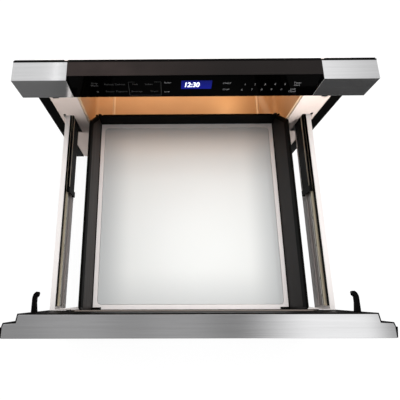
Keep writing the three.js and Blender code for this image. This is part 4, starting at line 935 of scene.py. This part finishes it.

# Ceramic glass: a polished pale grey that mirrors softly, with painted shade that darkens it towards its
# edges.
floor_glass, tree = own_material("polished_pale_ceramic_glass")
where = add_node(tree, "TexCoord")
cloud = add_node(tree, "TexNoise", {"Vector": where.outputs["Object"], "Scale": 1 / 0.16, "Detail": 1.0})
greys = add_node(tree, "Mix", {0: cloud.outputs["Fac"], 6: linear("#ebecea"), 7: linear("#f1f2f0")},
                 data_type="RGBA")
glass_middle = -0.479
middled = add_node(tree, "VectorMath", {0: where.outputs["Object"], 1: (0, -glass_middle, 0)},
                   operation="ADD")
middled = add_node(tree, "VectorMath", {0: middled.outputs[0]}, operation="ABSOLUTE")
place = add_node(tree, "SeparateXYZ", {0: middled.outputs[0]})
# Painted shade: the grey takes over fully towards the sides, and half of it towards the front and back.
edge_shade_x = add_node(tree, "MapRange", {"Value": place.outputs["X"], "From Min": 0.120, "From Max": 0.190,
                                       "To Min": 1.0, "To Max": 0.0}, interpolation_type="SMOOTHSTEP")
edge_shade_y = add_node(tree, "MapRange", {"Value": place.outputs["Y"], "From Min": 0.120, "From Max": 0.199,
                                       "To Min": 1.0, "To Max": 0.5}, interpolation_type="SMOOTHSTEP")
unshaded_share = add_node(tree, "Math", {0: edge_shade_x.outputs[0], 1: edge_shade_y.outputs[0]}, operation="MULTIPLY")
greys = add_node(tree, "Mix", {0: unshaded_share.outputs[0], 6: linear("#cccece"), 7: greys.outputs[2]},
                 data_type="RGBA")
ripple = add_node(tree, "TexNoise", {"Vector": where.outputs["Object"], "Scale": 1 / 0.08, "Detail": 1.0})
bump = add_node(tree, "Bump", {"Height": ripple.outputs["Fac"], "Strength": 0.03, "Distance": 0.001})
shell = add_node(tree, "BsdfPrincipled", {
    "Base Color": greys.outputs[2], "Roughness": 0.07, "IOR": 1.52, "Specular IOR Level": 0.5,
    "Normal": bump.outputs[0]})
add_node(tree, "OutputMaterial", {"Surface": shell.outputs[0]})
rounded_copy("glass_floor", 0.0008, floor_glass, steps=3)

# Satin moulding with faint lengthwise flow lines. Painted light makes the left wall lighter than the
# right.
wall_grey, tree = own_material("satin_grey_moulded_wall")
where = add_node(tree, "TexCoord")
wall_painted_light_share = share_along(tree, where, "X", -0.2, 0.2)
greys = add_node(tree, "Mix", {0: wall_painted_light_share.outputs[0], 6: linear("#464240"), 7: linear("#060505")},
                 data_type="RGBA")
drawn = drawn_out(tree, where, (0.003, 0.15, 0.003), 2.0)
tints = add_node(tree, "Mix", {0: drawn.outputs["Fac"], 6: greys.outputs[2], 7: linear("#2a2625")},
                 data_type="RGBA")
rough = add_node(tree, "MapRange", {"Value": drawn.outputs["Fac"], "To Min": 0.38, "To Max": 0.52})
shell = add_node(tree, "BsdfPrincipled", {
    "Base Color": tints.outputs[2], "Roughness": rough.outputs[0], "IOR": 1.5,
    "Specular IOR Level": 0.12})
add_node(tree, "OutputMaterial", {"Surface": shell.outputs[0]})
for side in ("right", "left"):
    rounded_copy("bin_wall_" + side, fine_edge, wall_grey)
rounded_copy("bin_back", 0.0006, black_abs)

wall_top = 0.247
wall_lean = 0.2053
rim_outer = 0.2096
rim_drop = 0.0112
rim = np.array([
    (wall_lean - 0.0018, -0.0125), (wall_lean - 0.0006, -0.0008), (wall_lean + 0.0001, 0.0001),
    (rim_outer - 0.0008, 0.0001), (rim_outer, -0.0007), (rim_outer, -rim_drop),
    (rim_outer - 0.0013, -rim_drop), (rim_outer - 0.0016, -0.0022), (wall_lean + 0.0006, -0.0022),
    (wall_lean - 0.0006, -0.0125),
])
back_drop = 0.0395
rim_path = np.array([
    (0, -0.6816, wall_top), (0, -0.3032, wall_top), (-0.0008, -0.2932, wall_top - 0.012),
    (-0.0018, -0.2802, wall_top - 0.0275), (-0.0026, -0.2702, wall_top - back_drop),
    (-0.0026, -0.2653, wall_top - back_drop),
])
fixed_piece("bin_rims", both_sides(rim, rim_path), black_abs, "drawer")

# Painted shade: a thin black bead along each wall's foot stands for the shadow line where the wall meets
# the tray.
foot_x = 0.2001
foot_radius = 0.0011
bead_foot = 0.1719
foot_shade_bead = np.concatenate([arc((foot_x, 0.1723), foot_radius, 180, 0, 7),
                            [(foot_x + foot_radius, bead_foot), (foot_x - foot_radius, bead_foot)]])
fixed_piece("bin_foot_shade_beads", both_sides(foot_shade_bead, [(0, -0.6870, 0), (0, -0.2712, 0)]),
            black_abs, "drawer")

clip_side = np.array([(-0.6874, bead_foot), (-0.6830, bead_foot), (-0.6834, 0.1736), (-0.6858, 0.1757),
                      (-0.6874, 0.1760)])
clip_run = np.array([(0.1820, 0, 0), (0.1855, 0, 0.0004), (0.1985, 0, 0.0004)])
clips = [carried(clip_side, clip_run * [side, 1, 1], across=(0, 1, 0)) for side in (-1, 1)]
fixed_piece("bin_corner_clips", joined(clips), black_abs, "drawer")


# ---------------------------------------------------------------- drawer drive
# A black moulded rack under the right bracket, a pinion of white acetal with its waxy gloss, and a
# gear motor in a drawn steel can whose plating is a cloudy grey.

rounded_copy("drive_rack", fine_edge, black_abs)
acetal = clouded("white_acetal", (0.01, 2.0), ("#e2ded4", "#f2f0ea"), {"Roughness": 0.35, "IOR": 1.48})
rounded_copy("drive_pinion", fine_edge, acetal)
motor_plate = clouded("plated_motor_can", (0.012, 4.0), ("#8d8f92", "#b4b6b8"),
                      {"Metallic": 1.0, "Roughness": 0.38})
for name in ("drive_motor", "antenna_motor", "fan_motor"):
    rounded_copy(name, moulded_edge, motor_plate)


# ---------------------------------------------------------------- microwave works
# Behind and under the cavity: a plated magnetron and waveguide, a laminated transformer, a
# capacitor can, the fan in its shroud and the noise-filter board.

# Glazed ceramic: a smooth creamy gloss. Tinplate: a bright silvery one.
glazed = clouded("glazed_ceramic_cover", (0.02, 4.0), ("#d9d2c4", "#ece8de"),
                 {"Roughness": 0.3, "IOR": 1.55})
rounded_copy("antenna_cover", moulded_edge, glazed)
tinplate = clouded("bright_tinplate", (0.015, 3.0), ("#b2b4b4", "#d0d2d2"),
                   {"Metallic": 1.0, "Roughness": 0.26})
dress(tinplate, "magnetron", "antenna_well", "antenna", "waveguide", "capacitor")

# Varnished iron sheets on edge: dark and pale lines, drawn 2 mm apart so that they show.
laminate, tree = own_material("varnished_iron_laminations")
where = add_node(tree, "TexCoord")
place = add_node(tree, "SeparateXYZ", {0: where.outputs["Object"]})
sheets = add_node(tree, "Math", {0: place.outputs["Y"], 1: 2 * math.pi / 0.002}, operation="MULTIPLY")
sheets = add_node(tree, "Math", {0: sheets.outputs[0]}, operation="SINE")
edges = add_node(tree, "MapRange", {"Value": sheets.outputs[0], "From Min": -1.0})
irons = add_node(tree, "Mix", {0: edges.outputs[0], 6: linear("#2c2b2a"), 7: linear("#5c5a57")},
                 data_type="RGBA")
shell = add_node(tree, "BsdfPrincipled", {"Base Color": irons.outputs[2], "Metallic": 0.7,
                                          "Roughness": 0.5})
add_node(tree, "OutputMaterial", {"Surface": shell.outputs[0]})
dress(laminate, "transformer")

# Solder mask: a glossy green with the paler tracks under it.
board_green, tree = own_material("green_solder_mask")
where = add_node(tree, "TexCoord")
tracks = add_node(tree, "TexBrick", {"Vector": where.outputs["Object"], "Scale": 60.0,
                                     "Color1": linear("#1f5c38"), "Color2": linear("#1a4f31"),
                                     "Mortar": linear("#2f7a4d"), "Mortar Size": 0.02})
shell = add_node(tree, "BsdfPrincipled", {"Base Color": tracks.outputs[0], "Roughness": 0.35, "IOR": 1.5})
add_node(tree, "OutputMaterial", {"Surface": shell.outputs[0]})
dress(board_green, "control_board", "filter_board")
for name in ("fan_shroud", "fan_blade", "cord_gland"):
    rounded_copy(name, moulded_edge, black_abs)
